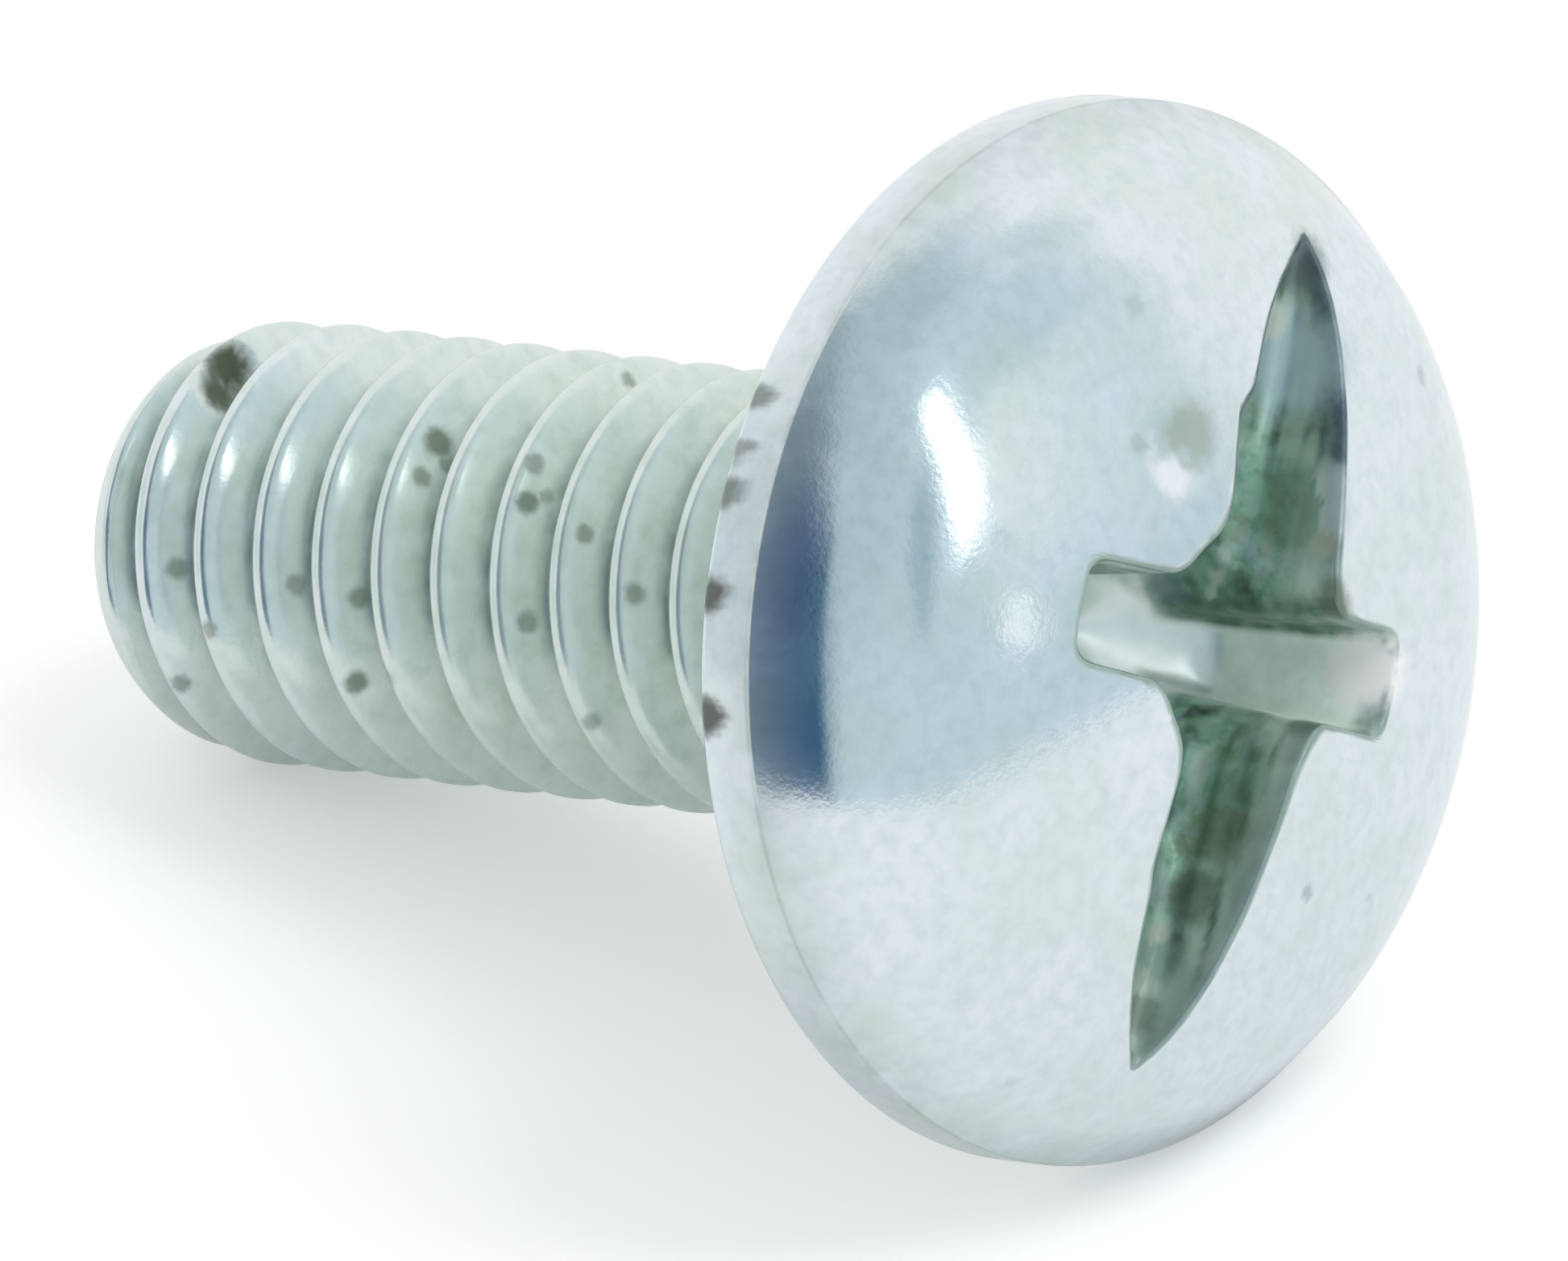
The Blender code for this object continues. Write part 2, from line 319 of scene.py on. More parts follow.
@dataclass(frozen=True)
class Cross:
    """The cross recess, with four wings that taper towards a conical bottom."""

    span: float = 4.10
    wing_width: float = 0.88
    depth: float = 1.72
    end_taper: float = radians(26.5)
    side_draft: float = radians(4)
    bottom_angle: float = radians(138)
    hub_diameter: float = 2.16
    hub_draft: float = radians(10)
    turn: float = radians(-33.2)
    corner_blend: float = 0.22
    bottom_blend: float = 0.16

    def distance(self, dome: Dome, points: Points) -> np.ndarray:
        """Work out how far points are from the cross-shaped end of the punch.

        Args:
            dome: The head's dome, whose surface the span is measured on.
            points: The points.

        Returns:
            Distances, negative inside the punch.
        """
        x, y, z = points
        u, v = turned(x, y, self.turn)
        r = np.hypot(u, v)
        at_span = float(dome.surface(np.array(self.span / 2)))
        at_hub = float(dome.surface(np.array(self.hub_diameter / 2)))
        half_width = self.wing_width / 2 + (z - at_span) * tan(self.side_draft)
        along = (np.abs(v) - half_width) * cos(self.side_draft)
        across = (np.abs(u) - half_width) * cos(self.side_draft)
        hub_radius = self.hub_diameter / 2 + (z - at_hub) * tan(self.hub_draft)
        hub = (r - hub_radius) * cos(self.hub_draft)
        plan = smooth_min(np.minimum(along, across), hub, self.corner_blend)
        end_radius = self.span / 2 + (z - at_span) * tan(self.end_taper)
        ends = (r - end_radius) * cos(self.end_taper)
        floor = dome.height - self.depth
        floor_radius = self.span / 2 - (at_span - floor) * tan(self.end_taper)
        tip = floor - floor_radius / tan(self.bottom_angle / 2)
        bottom = (tip + r / tan(self.bottom_angle / 2) - z) * sin(self.bottom_angle / 2)
        shape = smooth_max(plan, ends, self.bottom_blend)
        return smooth_max(shape, bottom, self.bottom_blend)


@dataclass(frozen=True)
class Slot:
    """The boat-shaped slot, a little off the axis and off square to the cross."""

    length: float = 7.30
    width: float = 1.30
    depth: float = 0.95
    side_draft: float = radians(17)
    end_power: int = 6
    turn: float = radians(-35.6)
    offset: float = 0.20
    bow: float = 0.20
    bow_power: int = 4
    floor_blend: float = 0.22
    least_half_length: float = 0.1
    least_half_width: float = 0.05
    steepest_along: float = 1.2

    def plan(self, x: np.ndarray, y: np.ndarray) -> tuple[np.ndarray, np.ndarray]:
        """Return how far points of the plan lie along the slot's straight middle line, and across."""
        along, across = turned(x, y, self.turn)
        return along, across - self.offset

    def distance(self, dome: Dome, points: Points) -> np.ndarray:
        """Work out how far points are from the slot's blade.

        Args:
            dome: The head's dome, whose surface the plan is measured on.
            points: The points.

        Returns:
            Distances, negative inside the blade.
        """
        x, y, z = points
        u, v = self.plan(x, y)
        v = v - self.bow * (2 * u / self.length) ** self.bow_power
        at_side = float(dome.surface(np.array(self.length / 4)))
        at_end = float(dome.surface(np.array(self.length / 2)))
        half_length = self.length / 2 + (z - at_end) * tan(self.side_draft)
        half_length = np.maximum(half_length, self.least_half_length)
        half_width = self.width / 2 + (z - at_side) * tan(self.side_draft)
        half_width = np.maximum(half_width, self.least_half_width)
        along = np.abs(u) / half_length
        edge = half_width * (1 - along ** self.end_power)
        slope = np.minimum(along, self.steepest_along) ** (self.end_power - 1)
        slope = self.end_power * half_width / half_length * slope
        walls = (np.abs(v) - edge) * cos(self.side_draft) / np.sqrt(1 + slope ** 2)
        floor = dome.height - self.depth - z
        return smooth_max(walls, floor, self.floor_blend)


@dataclass(frozen=True)
class Dimple:
    """The small round dimple beside the recess."""

    diameter: float = 0.66
    depth: float = 0.045
    from_axis: float = 1.94
    turn: float = radians(187.8)
    lip_blend: float = 0.05
    reach: float = 0.7

    def holds(self, place: Vector) -> bool:
        """Tell whether a point of the dome is in the dimple or on its lip."""
        x, y = self.from_axis * cos(self.turn), self.from_axis * sin(self.turn)
        return hypot(place.x - x, place.y - y) < self.reach * self.diameter

    def distance(self, dome: Dome, points: Points) -> np.ndarray:
        """Work out how far points are from the ball that dips into the dome.

        Args:
            dome: The head's dome.
            points: The points.

        Returns:
            Distances, negative inside the ball.
        """
        x, y, z = points
        half = self.diameter / 2
        ball = (half ** 2 + self.depth ** 2) / (2 * self.depth)
        slope = asin(self.from_axis / dome.crown_radius)
        lift = dome.crown_radius + ball - self.depth
        centre_r, centre_z = lift * sin(slope), dome.crown_z + lift * cos(slope)
        dx, dy = x - centre_r * cos(self.turn), y - centre_r * sin(self.turn)
        return np.sqrt(dx ** 2 + dy ** 2 + (z - centre_z) ** 2) - ball


@dataclass
class Head:
    """The forged head: dome, rim and bearing face, with the recess struck into the crown."""

    dome: Dome = field(default_factory=Dome)
    cross: Cross = field(default_factory=Cross)
    slot: Slot = field(default_factory=Slot)
    dimple: Dimple = field(default_factory=Dimple)
    rolled_edge: float = 0.06
    cross_to_slot: float = 0.28
    bearing_inner_radius: float = 2.60
    headroom: float = 0.3
    halvings: int = 26
    outline_start: float = 0.5
    outline_steps: int = 5760
    outline_softening: int = 13
    rays: int = 336
    recess_rings: int = 76
    crown_rings: int = 34
    crown_spacing: float = 1.25
    bearing_rings: int = 6
    sample: float = 0.005
    crown_limit: float = 4.25
    bend_weight: float = 0.12
    outline_share: float = 0.8

    def metal(self, points: Points) -> np.ndarray:
        """Work out how far points are from the struck head.

        Args:
            points: The points.

        Returns:
            Distances, negative inside the metal.
        """
        top = self.dome.distance(np.hypot(points[0], points[1]), points[2])
        struck = smooth_max(top, -self.punch(points), self.rolled_edge)
        return smooth_max(struck, -self.dimple.distance(self.dome, points), self.dimple.lip_blend)

    def punch(self, points: Points) -> np.ndarray:
        """Return signed distances to the punch that strikes the recess."""
        cross, slot = self.cross.distance(self.dome, points), self.slot.distance(self.dome, points)
        return smooth_min(cross, slot, self.cross_to_slot)

    def height(self, x: np.ndarray, y: np.ndarray) -> np.ndarray:
        """Find the struck head's height by halving the span that it lies in.

        Args:
            x: First coordinates of points of the plan.
            y: Their second coordinates.

        Returns:
            The height at each of them.
        """
        low = np.zeros_like(x)
        high = np.full_like(x, self.dome.height + self.headroom)
        for _ in range(self.halvings):
            middle = (low + high) / 2
            inside = self.metal((x, y, middle)) < 0
            low = np.where(inside, middle, low)
            high = np.where(inside, high, middle)
        return (low + high) / 2

    def outline(self, angles: np.ndarray) -> np.ndarray:
        """Find how far the recess reaches on the dome.

        Args:
            angles: Angles round the axis.

        Returns:
            The reach from the axis at each of them.
        """
        reach = np.zeros_like(angles)
        for r in np.arange(self.outline_start, self.crown_limit, self.sample):
            z = np.full_like(angles, float(self.dome.surface(np.array(r))))
            struck = self.punch((r * np.cos(angles), r * np.sin(angles), z)) < 0
            reach = np.where(struck, r, reach)
        return reach

    def sunk(self, place: Vector) -> float:
        """Work out how deep a point lies under the bare dome.

        Args:
            place: The point.

        Returns:
            The depth, or 0 where the point is outside the crown.
        """
        radius = hypot(place.x, place.y)
        on_crown = place.z > FACE_MARGIN and radius < self.crown_limit
        return float(self.dome.surface(np.array(radius))) - place.z if on_crown else 0.0

    def ray_angles(self) -> tuple[np.ndarray, np.ndarray]:
        """Spread the rays evenly along the recess outline, with some share evenly round the axis.

        Returns:
            The rays' angles, and the outline's distance from the axis on each of them.
        """
        fine = np.linspace(0, 2 * pi, self.outline_steps, endpoint=False)
        reach = self.outline(fine)
        window = np.ones(self.outline_softening) / self.outline_softening
        lap = self.outline_softening // 2
        soft = np.convolve(np.concatenate([reach[-lap:], reach, reach[:lap]]), window, "valid")
        x, y = soft * np.cos(fine), soft * np.sin(fine)
        steps = np.hypot(np.diff(x, append=x[0]), np.diff(y, append=y[0]))
        share = self.outline_share * steps / steps.sum() + (1 - self.outline_share) / len(fine)
        run = np.concatenate([[0], np.cumsum(share)])
        at = np.interp(np.arange(self.rays) / self.rays, run, np.append(fine, 2 * pi))
        return at, np.interp(at, np.append(fine, 2 * pi), np.append(soft, soft[0]))

    def rings(self) -> np.ndarray:
        """Work out where each vertex of the head goes.

        Returns:
            An array of rings, rays and coordinates, from the bottom of the recess outwards.
        """
        angles, reach = self.ray_angles()
        r = np.arange(0, self.crown_limit + self.sample / 2, self.sample)
        x, y = r[None, :] * np.cos(angles)[:, None], r[None, :] * np.sin(angles)[:, None]
        z = self.height(x, y)
        lengths = np.hypot(np.diff(r)[None, :], np.diff(z, axis=1))
        slopes = np.arctan2(np.diff(z, axis=1), np.diff(r)[None, :])
        bends = np.abs(np.diff(slopes, axis=1, prepend=slopes[:, :1]))
        run = np.cumsum(lengths + self.bend_weight * bends, axis=1)
        run = np.concatenate([np.zeros((len(angles), 1)), run], axis=1)
        inner = np.linspace(0, 1, self.recess_rings + 1)
        outer = np.linspace(0, 1, self.crown_rings + 1)[1:] ** self.crown_spacing
        rim = self.dome.rim()
        bearing = np.linspace(rim[-1][0], self.bearing_inner_radius, self.bearing_rings + 1)[1:]
        rim += [(radius, 0.0) for radius in bearing]
        crown_count = len(inner) + len(outer)
        rings = np.zeros((crown_count + len(rim), len(angles), 3))
        evenness = [0.0] * (len(rim) - self.bearing_rings)
        evenness += [(k + 1) / self.bearing_rings for k in range(self.bearing_rings)]
        for j, (angle, limit) in enumerate(zip(angles, reach)):
            edge = np.interp(limit, r, run[j])
            marks = np.concatenate([inner * edge, edge + outer * (run[j, -1] - edge)])
            at = np.interp(marks, run[j], r)
            rings[:crown_count, j, 0] = at * cos(angle)
            rings[:crown_count, j, 1] = at * sin(angle)
            rings[:crown_count, j, 2] = np.interp(at, r, z[j])
            shift = 2 * pi * j / len(angles) - angle
            turns = [angle + shift * even for even in evenness]
            rings[crown_count:, j, 0] = [radius * cos(turn) for (radius, _), turn in zip(rim, turns)]
            rings[crown_count:, j, 1] = [radius * sin(turn) for (radius, _), turn in zip(rim, turns)]
            rings[crown_count:, j, 2] = [height for _, height in rim]
        return rings


@dataclass
class Shank:
    """The rolled thread with its neck, its run-out and its rounded end."""

    thread_radius: float = 1.97
    pitch: float = 0.70
    flank_angle: float = radians(30)
    groove_start: float = -0.05
    groove_turn: float = pi / 48
    length: float = 10.05
    end_face_radius: float = 1.22
    end_rounding: float = 1.35
    neck_length: float = 0.85
    run_out: float = 0.70
    neck_fillet: float = 0.20
    bearing_outer_radius: float = 2.25
    crest_blend: float = 0.11
    root_blend: float = 0.16
    crest_flat: float = 1 / 8
    metric_depth: float = 0.6134
    run_out_blend: float = 0.06
    end_blend: float = 0.05
    neck_blend: float = 0.05
    fillet_steps: int = 6
    segments: int = 144
    rings_a_pitch: int = 20
    face_rings: int = 6

    @property
    def depth(self) -> float:
        """Return the thread's depth, as a metric thread has it."""
        return self.metric_depth * self.pitch

    @property
    def neck_radius(self) -> float:
        """Return the neck's radius, at the middle of the thread's depth."""
        return self.thread_radius - self.depth / 2

    def thread(self, angle: np.ndarray, z: np.ndarray) -> np.ndarray:
        """Work out the thread's radius.

        Args:
            angle: Angles round the axis.
            z: Heights.

        Returns:
            The radius at each angle and height.
        """
        turn = (z - self.groove_start) / self.pitch - (angle - self.groove_turn) / (2 * pi)
        from_crest = np.abs(turn % 1 - 0.5) * self.pitch
        fall = (from_crest - self.pitch * self.crest_flat / 2) / tan(self.flank_angle)
        fall = smooth_max(fall, np.zeros_like(fall), self.crest_blend)
        return self.thread_radius - smooth_min(fall, np.full_like(fall, self.depth), self.root_blend)

    def radius(self, angle: np.ndarray, z: np.ndarray) -> np.ndarray:
        """Work out the shank's radius, with the neck, the run-out and the rounded end.

        Args:
            angle: Angles round the axis.
            z: Heights.

        Returns:
            The radius at each angle and height.
        """
        root = self.thread_radius - self.depth
        share = np.clip((-self.neck_length + self.run_out / 2 - z) / self.run_out, 0, 1)
        outer = self.neck_radius + (self.thread_radius - self.neck_radius) * share
        neck_share = np.clip((-self.neck_length - z) / self.run_out, 0, 1)
        neck = self.neck_radius + (root - self.neck_radius) * neck_share
        into_end = np.clip((self.end_rounding - self.length - z) / self.end_rounding, 0, 1)
        reach = self.thread_radius - self.end_face_radius
        end = self.end_face_radius + reach * np.sqrt(1 - into_end ** 2)
        cut = smooth_min(self.thread(angle, z), outer, self.run_out_blend)
        cut = smooth_min(cut, end, self.end_blend)
        at_neck = z > -self.neck_length - self.run_out
        return np.where(at_neck, smooth_max(cut, neck, self.neck_blend), cut)

    def rings(self) -> np.ndarray:
        """Work out where each vertex of the shank goes.

        Returns:
            An array of rings, segments and coordinates, from the end face up to the head.
        """
        angle = np.arange(self.segments) * 2 * pi / self.segments
        step = self.pitch / self.rings_a_pitch
        heights = np.arange(-self.length + step / 2, -self.neck_fillet, step)
        rings = []
        rim_radius = self.radius(angle, np.full_like(angle, -self.length + step / 2))
        for share in np.linspace(0, 1, self.face_rings + 1)[:-1]:
            rings.append((rim_radius * share, np.full_like(angle, -self.length)))
        rings.append((rim_radius - step / 2, np.full_like(angle, -self.length)))
        rings += [(self.radius(angle, np.full_like(angle, z)), np.full_like(angle, z)) for z in heights]
        centre = (self.neck_radius + self.neck_fillet, -self.neck_fillet)
        fillet = arc(centre, self.neck_fillet, -pi / 2, 0, self.fillet_steps)
        rings += [(np.full_like(angle, r), np.full_like(angle, z)) for r, z in fillet]
        rings.append((np.full_like(angle, self.bearing_outer_radius), np.zeros_like(angle)))
        return np.array([np.stack([r * np.cos(angle), r * np.sin(angle), z], axis=1) for r, z in rings])


def draw_rings(bm: bmesh.types.BMesh, rings: np.ndarray) -> list[bmesh.types.BMEdge]:
    """Spin a flat disc of rings, one unit apart, and draw its vertices to their places.

    Args:
        bm: The mesh to add to.
        rings: Places of the vertices by ring and ray, with the pole first.

    Returns:
        The edges of the last ring, which is left open.
    """
    count, rays = rings.shape[:2]
    line = [bm.verts.new((float(i), 0, 0)) for i in range(count)]
    edges = [bm.edges.new(pair) for pair in zip(line, line[1:])]
    bmesh.ops.spin(bm, geom=line + edges, cent=(0, 0, 0), axis=(0, 0, 1), dvec=(0, 0, 0),
                   angle=2 * pi, steps=rays, use_merge=True, use_duplicate=False)
    fresh = [v for v in bm.verts if not v.tag]
    pole = [v for v in fresh if v.co.length < 0.5]
    bmesh.ops.remove_doubles(bm, verts=pole, dist=0.1)
    fresh = [v for v in bm.verts if not v.tag]
    open_edges = [e for e in bm.edges if e.is_boundary and not e.verts[0].tag]
    for vert in fresh:
        ring = round(vert.co.length)
        ray = round(atan2(vert.co.y, vert.co.x) / (2 * pi) * rays) % rays
        vert.co = rings[ring, ray if ring else 0]
        vert.tag = True
    return open_edges


class Wear(Enum):
    """How coarse each kind of unevenness of the plated surface is, and how deep, in millimetres."""

    FORGED = (1.20, 0.0070)
    PLATED = (0.26, 0.0018)


class Area(Enum):
    """Where film and soil collect and where light and shade are painted, by the name of the mesh attribute
    that holds its share.
    """

    PLATE = "plate"
    RECESS = "recess"
    SLOT = "slot"
    WINGS = "wings"
    BOTTOM = "bottom"
    SIDES = "shaded_sides"
    EDGE = "edge"
    STREAKS = "streaks"
    SCRAPES = "scrapes"
    THREAD = "thread"
    CREASE_SHADE = "crease_shade"
    SPOTS = "spots"


class Cloud(Enum):
    """Noises in the finish, with the size of their features in millimetres and their octaves."""

    GRAIN = (0.055, 2.0)
    EDGES = (0.10, 3.0)
    MOTTLE = (0.16, 4.0)
    SMEAR = (0.24, 3.0)
    BLOTCH = (0.34, 3.0)
    PATCH = (0.90, 3.0)


@dataclass(frozen=True)
class Layer:
    """A colour on the plate, laid where its area's share and a noise's brighter parts are."""

    colour: str
    area: Area
    cloud: Cloud
    low: float
    high: float
    least: float
    most: float


@dataclass(frozen=True)
class Spot:
    """A spot of colour, by its angle in degrees and its height: mostly soil and film, and two painted
    highlights.

    Its distance from the axis is the thread's own where it has none.
    """

    angle: float
    height: float
    size: float
    strength: float = 0.65
    colour: str = "#5c6c56"
    radius: float | None = None


@dataclass(frozen=True)
class Nick:
    """A dent where the thread was knocked."""

    height: float
    angle: float
    length: float
    width: float
    depth: float


@dataclass(frozen=True)
class BrightZincPlate:
    """Bright electroplated zinc on rolled steel wire, passivated after plating.

    Electroplating lays down a bluish white metal with a satin gloss, so most of what the eye sees
    is the room in it. The passivation dip dries last in the thread and the recess and leaves a
    matt, faintly green film there. The slot is darker with depth, for soil and painted shade
    together; the wing walls, the thread roots and the rim's crease get painted shade, the recess's
    rolled edges a painted dark reflection, and a few spots are painted highlights.
    """

    zinc: str = "#e2eaf0"
    layers: tuple[Layer, ...] = (
        Layer("#c4d3d8", Area.PLATE, Cloud.MOTTLE, 0.42, 0.72, 0.0, 0.45),
        Layer("#cbdccd", Area.PLATE, Cloud.PATCH, 0.40, 0.70, 0.0, 0.40),
        Layer("#d8e6da", Area.THREAD, Cloud.PATCH, 0.35, 0.65, 0.85, 0.55),
        Layer("#bccebc", Area.THREAD, Cloud.SMEAR, 0.45, 0.70, 0.0, 0.55),
        Layer("#a8c0b4", Area.RECESS, Cloud.SMEAR, 0.30, 0.60, 0.80, 1.0),
        Layer("#f0fff6", Area.WINGS, Cloud.SMEAR, 0.35, 0.65, 0.95, 0.70),
        Layer("#f2fafb", Area.BOTTOM, Cloud.SMEAR, 0.35, 0.65, 0.95, 0.80),
        # The slot's layers: green film, and painted shade that grows darker with depth.
        Layer("#8db8a0", Area.SLOT, Cloud.BLOTCH, 0.30, 0.60, 0.80, 1.0),
        Layer("#9db4bd", Area.SLOT, Cloud.SMEAR, 0.50, 0.62, 0.0, 0.75),
        Layer("#7c8468", Area.SLOT, Cloud.BLOTCH, 0.52, 0.66, 0.0, 0.75),
        Layer("#55806a", Area.SLOT, Cloud.MOTTLE, 0.48, 0.66, 0.0, 0.60),
        # Painted shade on the wing walls that face one way, and on a wedge of one wing's floor.
        Layer("#547862", Area.SIDES, Cloud.SMEAR, 0.30, 0.60, 0.75, 1.0),
        Layer("#44594c", Area.STREAKS, Cloud.BLOTCH, 0.35, 0.60, 0.35, 0.90),
        Layer("#cdd8d2", Area.SCRAPES, Cloud.BLOTCH, 0.35, 0.60, 0.65, 0.15),
        # Painted dark reflection on the recess's rolled edges.
        Layer("#3f5364", Area.EDGE, Cloud.BLOTCH, 0.35, 0.60, 0.55, 0.90),
        # Painted shade in the thread roots and along the rim's crease.
        Layer("#6c8272", Area.CREASE_SHADE, Cloud.BLOTCH, 0.30, 0.60, 0.35, 0.85),
    )
    matt: tuple[tuple[Area, float], ...] = (
        (Area.THREAD, 0.55),
        (Area.RECESS, 0.60),
        (Area.WINGS, 1.0),
        (Area.BOTTOM, 0.55),
        (Area.SIDES, 0.9),
        (Area.EDGE, 0.7),
        (Area.CREASE_SHADE, 0.80),
    )
    gloss_roughness: float = 0.12
    matt_roughness: float = 0.40
    matt_metal: float = 0.12
    ragged: float = 0.30
    spot_fade: tuple[float, float] = (0.22, 0.70)
    noise_roughness: float = 0.55
    bump: float = 0.004 * MM
    bump_strength: float = 0.25

    def material(self) -> bpy.types.Material:
        """Build the plate's material.

        Returns:
            The material.
        """
        material = new_material("bright_zinc_plate")
        tree = material.node_tree
        place = add_node(tree, "ShaderNodeTexCoord", output="Object")
        clouds = {}
        for cloud in Cloud:
            size, octaves = cloud.value
            clouds[cloud] = add_node(tree, "ShaderNodeTexNoise", {
                "Vector": place, "Scale": 1 / (size * MM), "Detail": octaves,
                "Roughness": self.noise_roughness})
        shares = {area: add_node(tree, "ShaderNodeAttribute", output="Fac", attribute_name=area.value)
                  for area in Area}
        colour = linear(self.zinc)
        for layer in self.layers:
            amount = add_node(tree, "ShaderNodeMapRange", {
                "Value": clouds[layer.cloud], "From Min": layer.low, "From Max": layer.high,
                "To Min": layer.least, "To Max": layer.most})
            amount = add_node(tree, "ShaderNodeMath", {0: amount, 1: shares[layer.area]},
                              operation="MULTIPLY")
            colour = add_node(tree, "ShaderNodeMix", {0: amount, 6: colour, 7: linear(layer.colour)}, 2,
                              data_type="RGBA")
        matt = 0.0
        for area, most in self.matt:
            amount = add_node(tree, "ShaderNodeMath", {0: shares[area], 1: most}, operation="MULTIPLY")
            matt = add_node(tree, "ShaderNodeMath", {0: matt, 1: amount}, operation="MAXIMUM")
        marks = add_node(tree, "ShaderNodeAttribute", attribute_name=SPOT_COLOUR).node.outputs
        edge = add_node(tree, "ShaderNodeMath", {
            0: clouds[Cloud.EDGES], 1: self.ragged, 2: -self.ragged / 2}, operation="MULTIPLY_ADD")
        edge = add_node(tree, "ShaderNodeMath", {0: edge, 1: marks["Alpha"]}, operation="ADD")
        amount = add_node(tree, "ShaderNodeMapRange", {
            "Value": edge, "From Min": self.spot_fade[0], "From Max": self.spot_fade[1]},
                          interpolation_type="SMOOTHSTEP")
        amount = add_node(tree, "ShaderNodeMath", {0: amount, 1: shares[Area.SPOTS]}, operation="MULTIPLY")
        colour = add_node(tree, "ShaderNodeMix", {0: amount, 6: colour, 7: marks["Color"]}, 2,
                          data_type="RGBA")
        matt = add_node(tree, "ShaderNodeMath", {0: matt, 1: amount}, operation="MAXIMUM")
        shader = tree.nodes["Principled BSDF"]
        tree.links.new(colour, shader.inputs["Base Color"])
        metal = add_node(tree, "ShaderNodeMapRange", {
            "Value": matt, "To Min": 1.0, "To Max": self.matt_metal})
        tree.links.new(metal, shader.inputs["Metallic"])
        rough = add_node(tree, "ShaderNodeMapRange", {
            "Value": matt, "To Min": self.gloss_roughness, "To Max": self.matt_roughness})
        tree.links.new(rough, shader.inputs["Roughness"])
        bump = add_node(tree, "ShaderNodeBump", {
            "Strength": self.bump_strength, "Distance": self.bump, "Height": clouds[Cloud.GRAIN]},
                        "Normal")
        tree.links.new(bump, shader.inputs["Normal"])
        return material


def add_node(tree: bpy.types.NodeTree, kind: str, inputs: dict | None = None, output: "int | str" = 0,
             **settings: object) -> bpy.types.NodeSocket:
    """Add a node with its settings, and set or link its inputs.

    Args:
        tree: The node tree.
        kind: The node's type name.
        inputs: Values or sockets by input name or number.
        output: Name or number of the output that is wanted.
        settings: Attributes to set on the node.

    Returns:
        The output's socket.
    """
    node = tree.nodes.new(kind)
    for name, value in settings.items():
        setattr(node, name, value)
    for name, value in (inputs or {}).items():
        if isinstance(value, bpy.types.NodeSocket):
            tree.links.new(value, node.inputs[name])
        else:
            node.inputs[name].default_value = value
    return node.outputs[output]


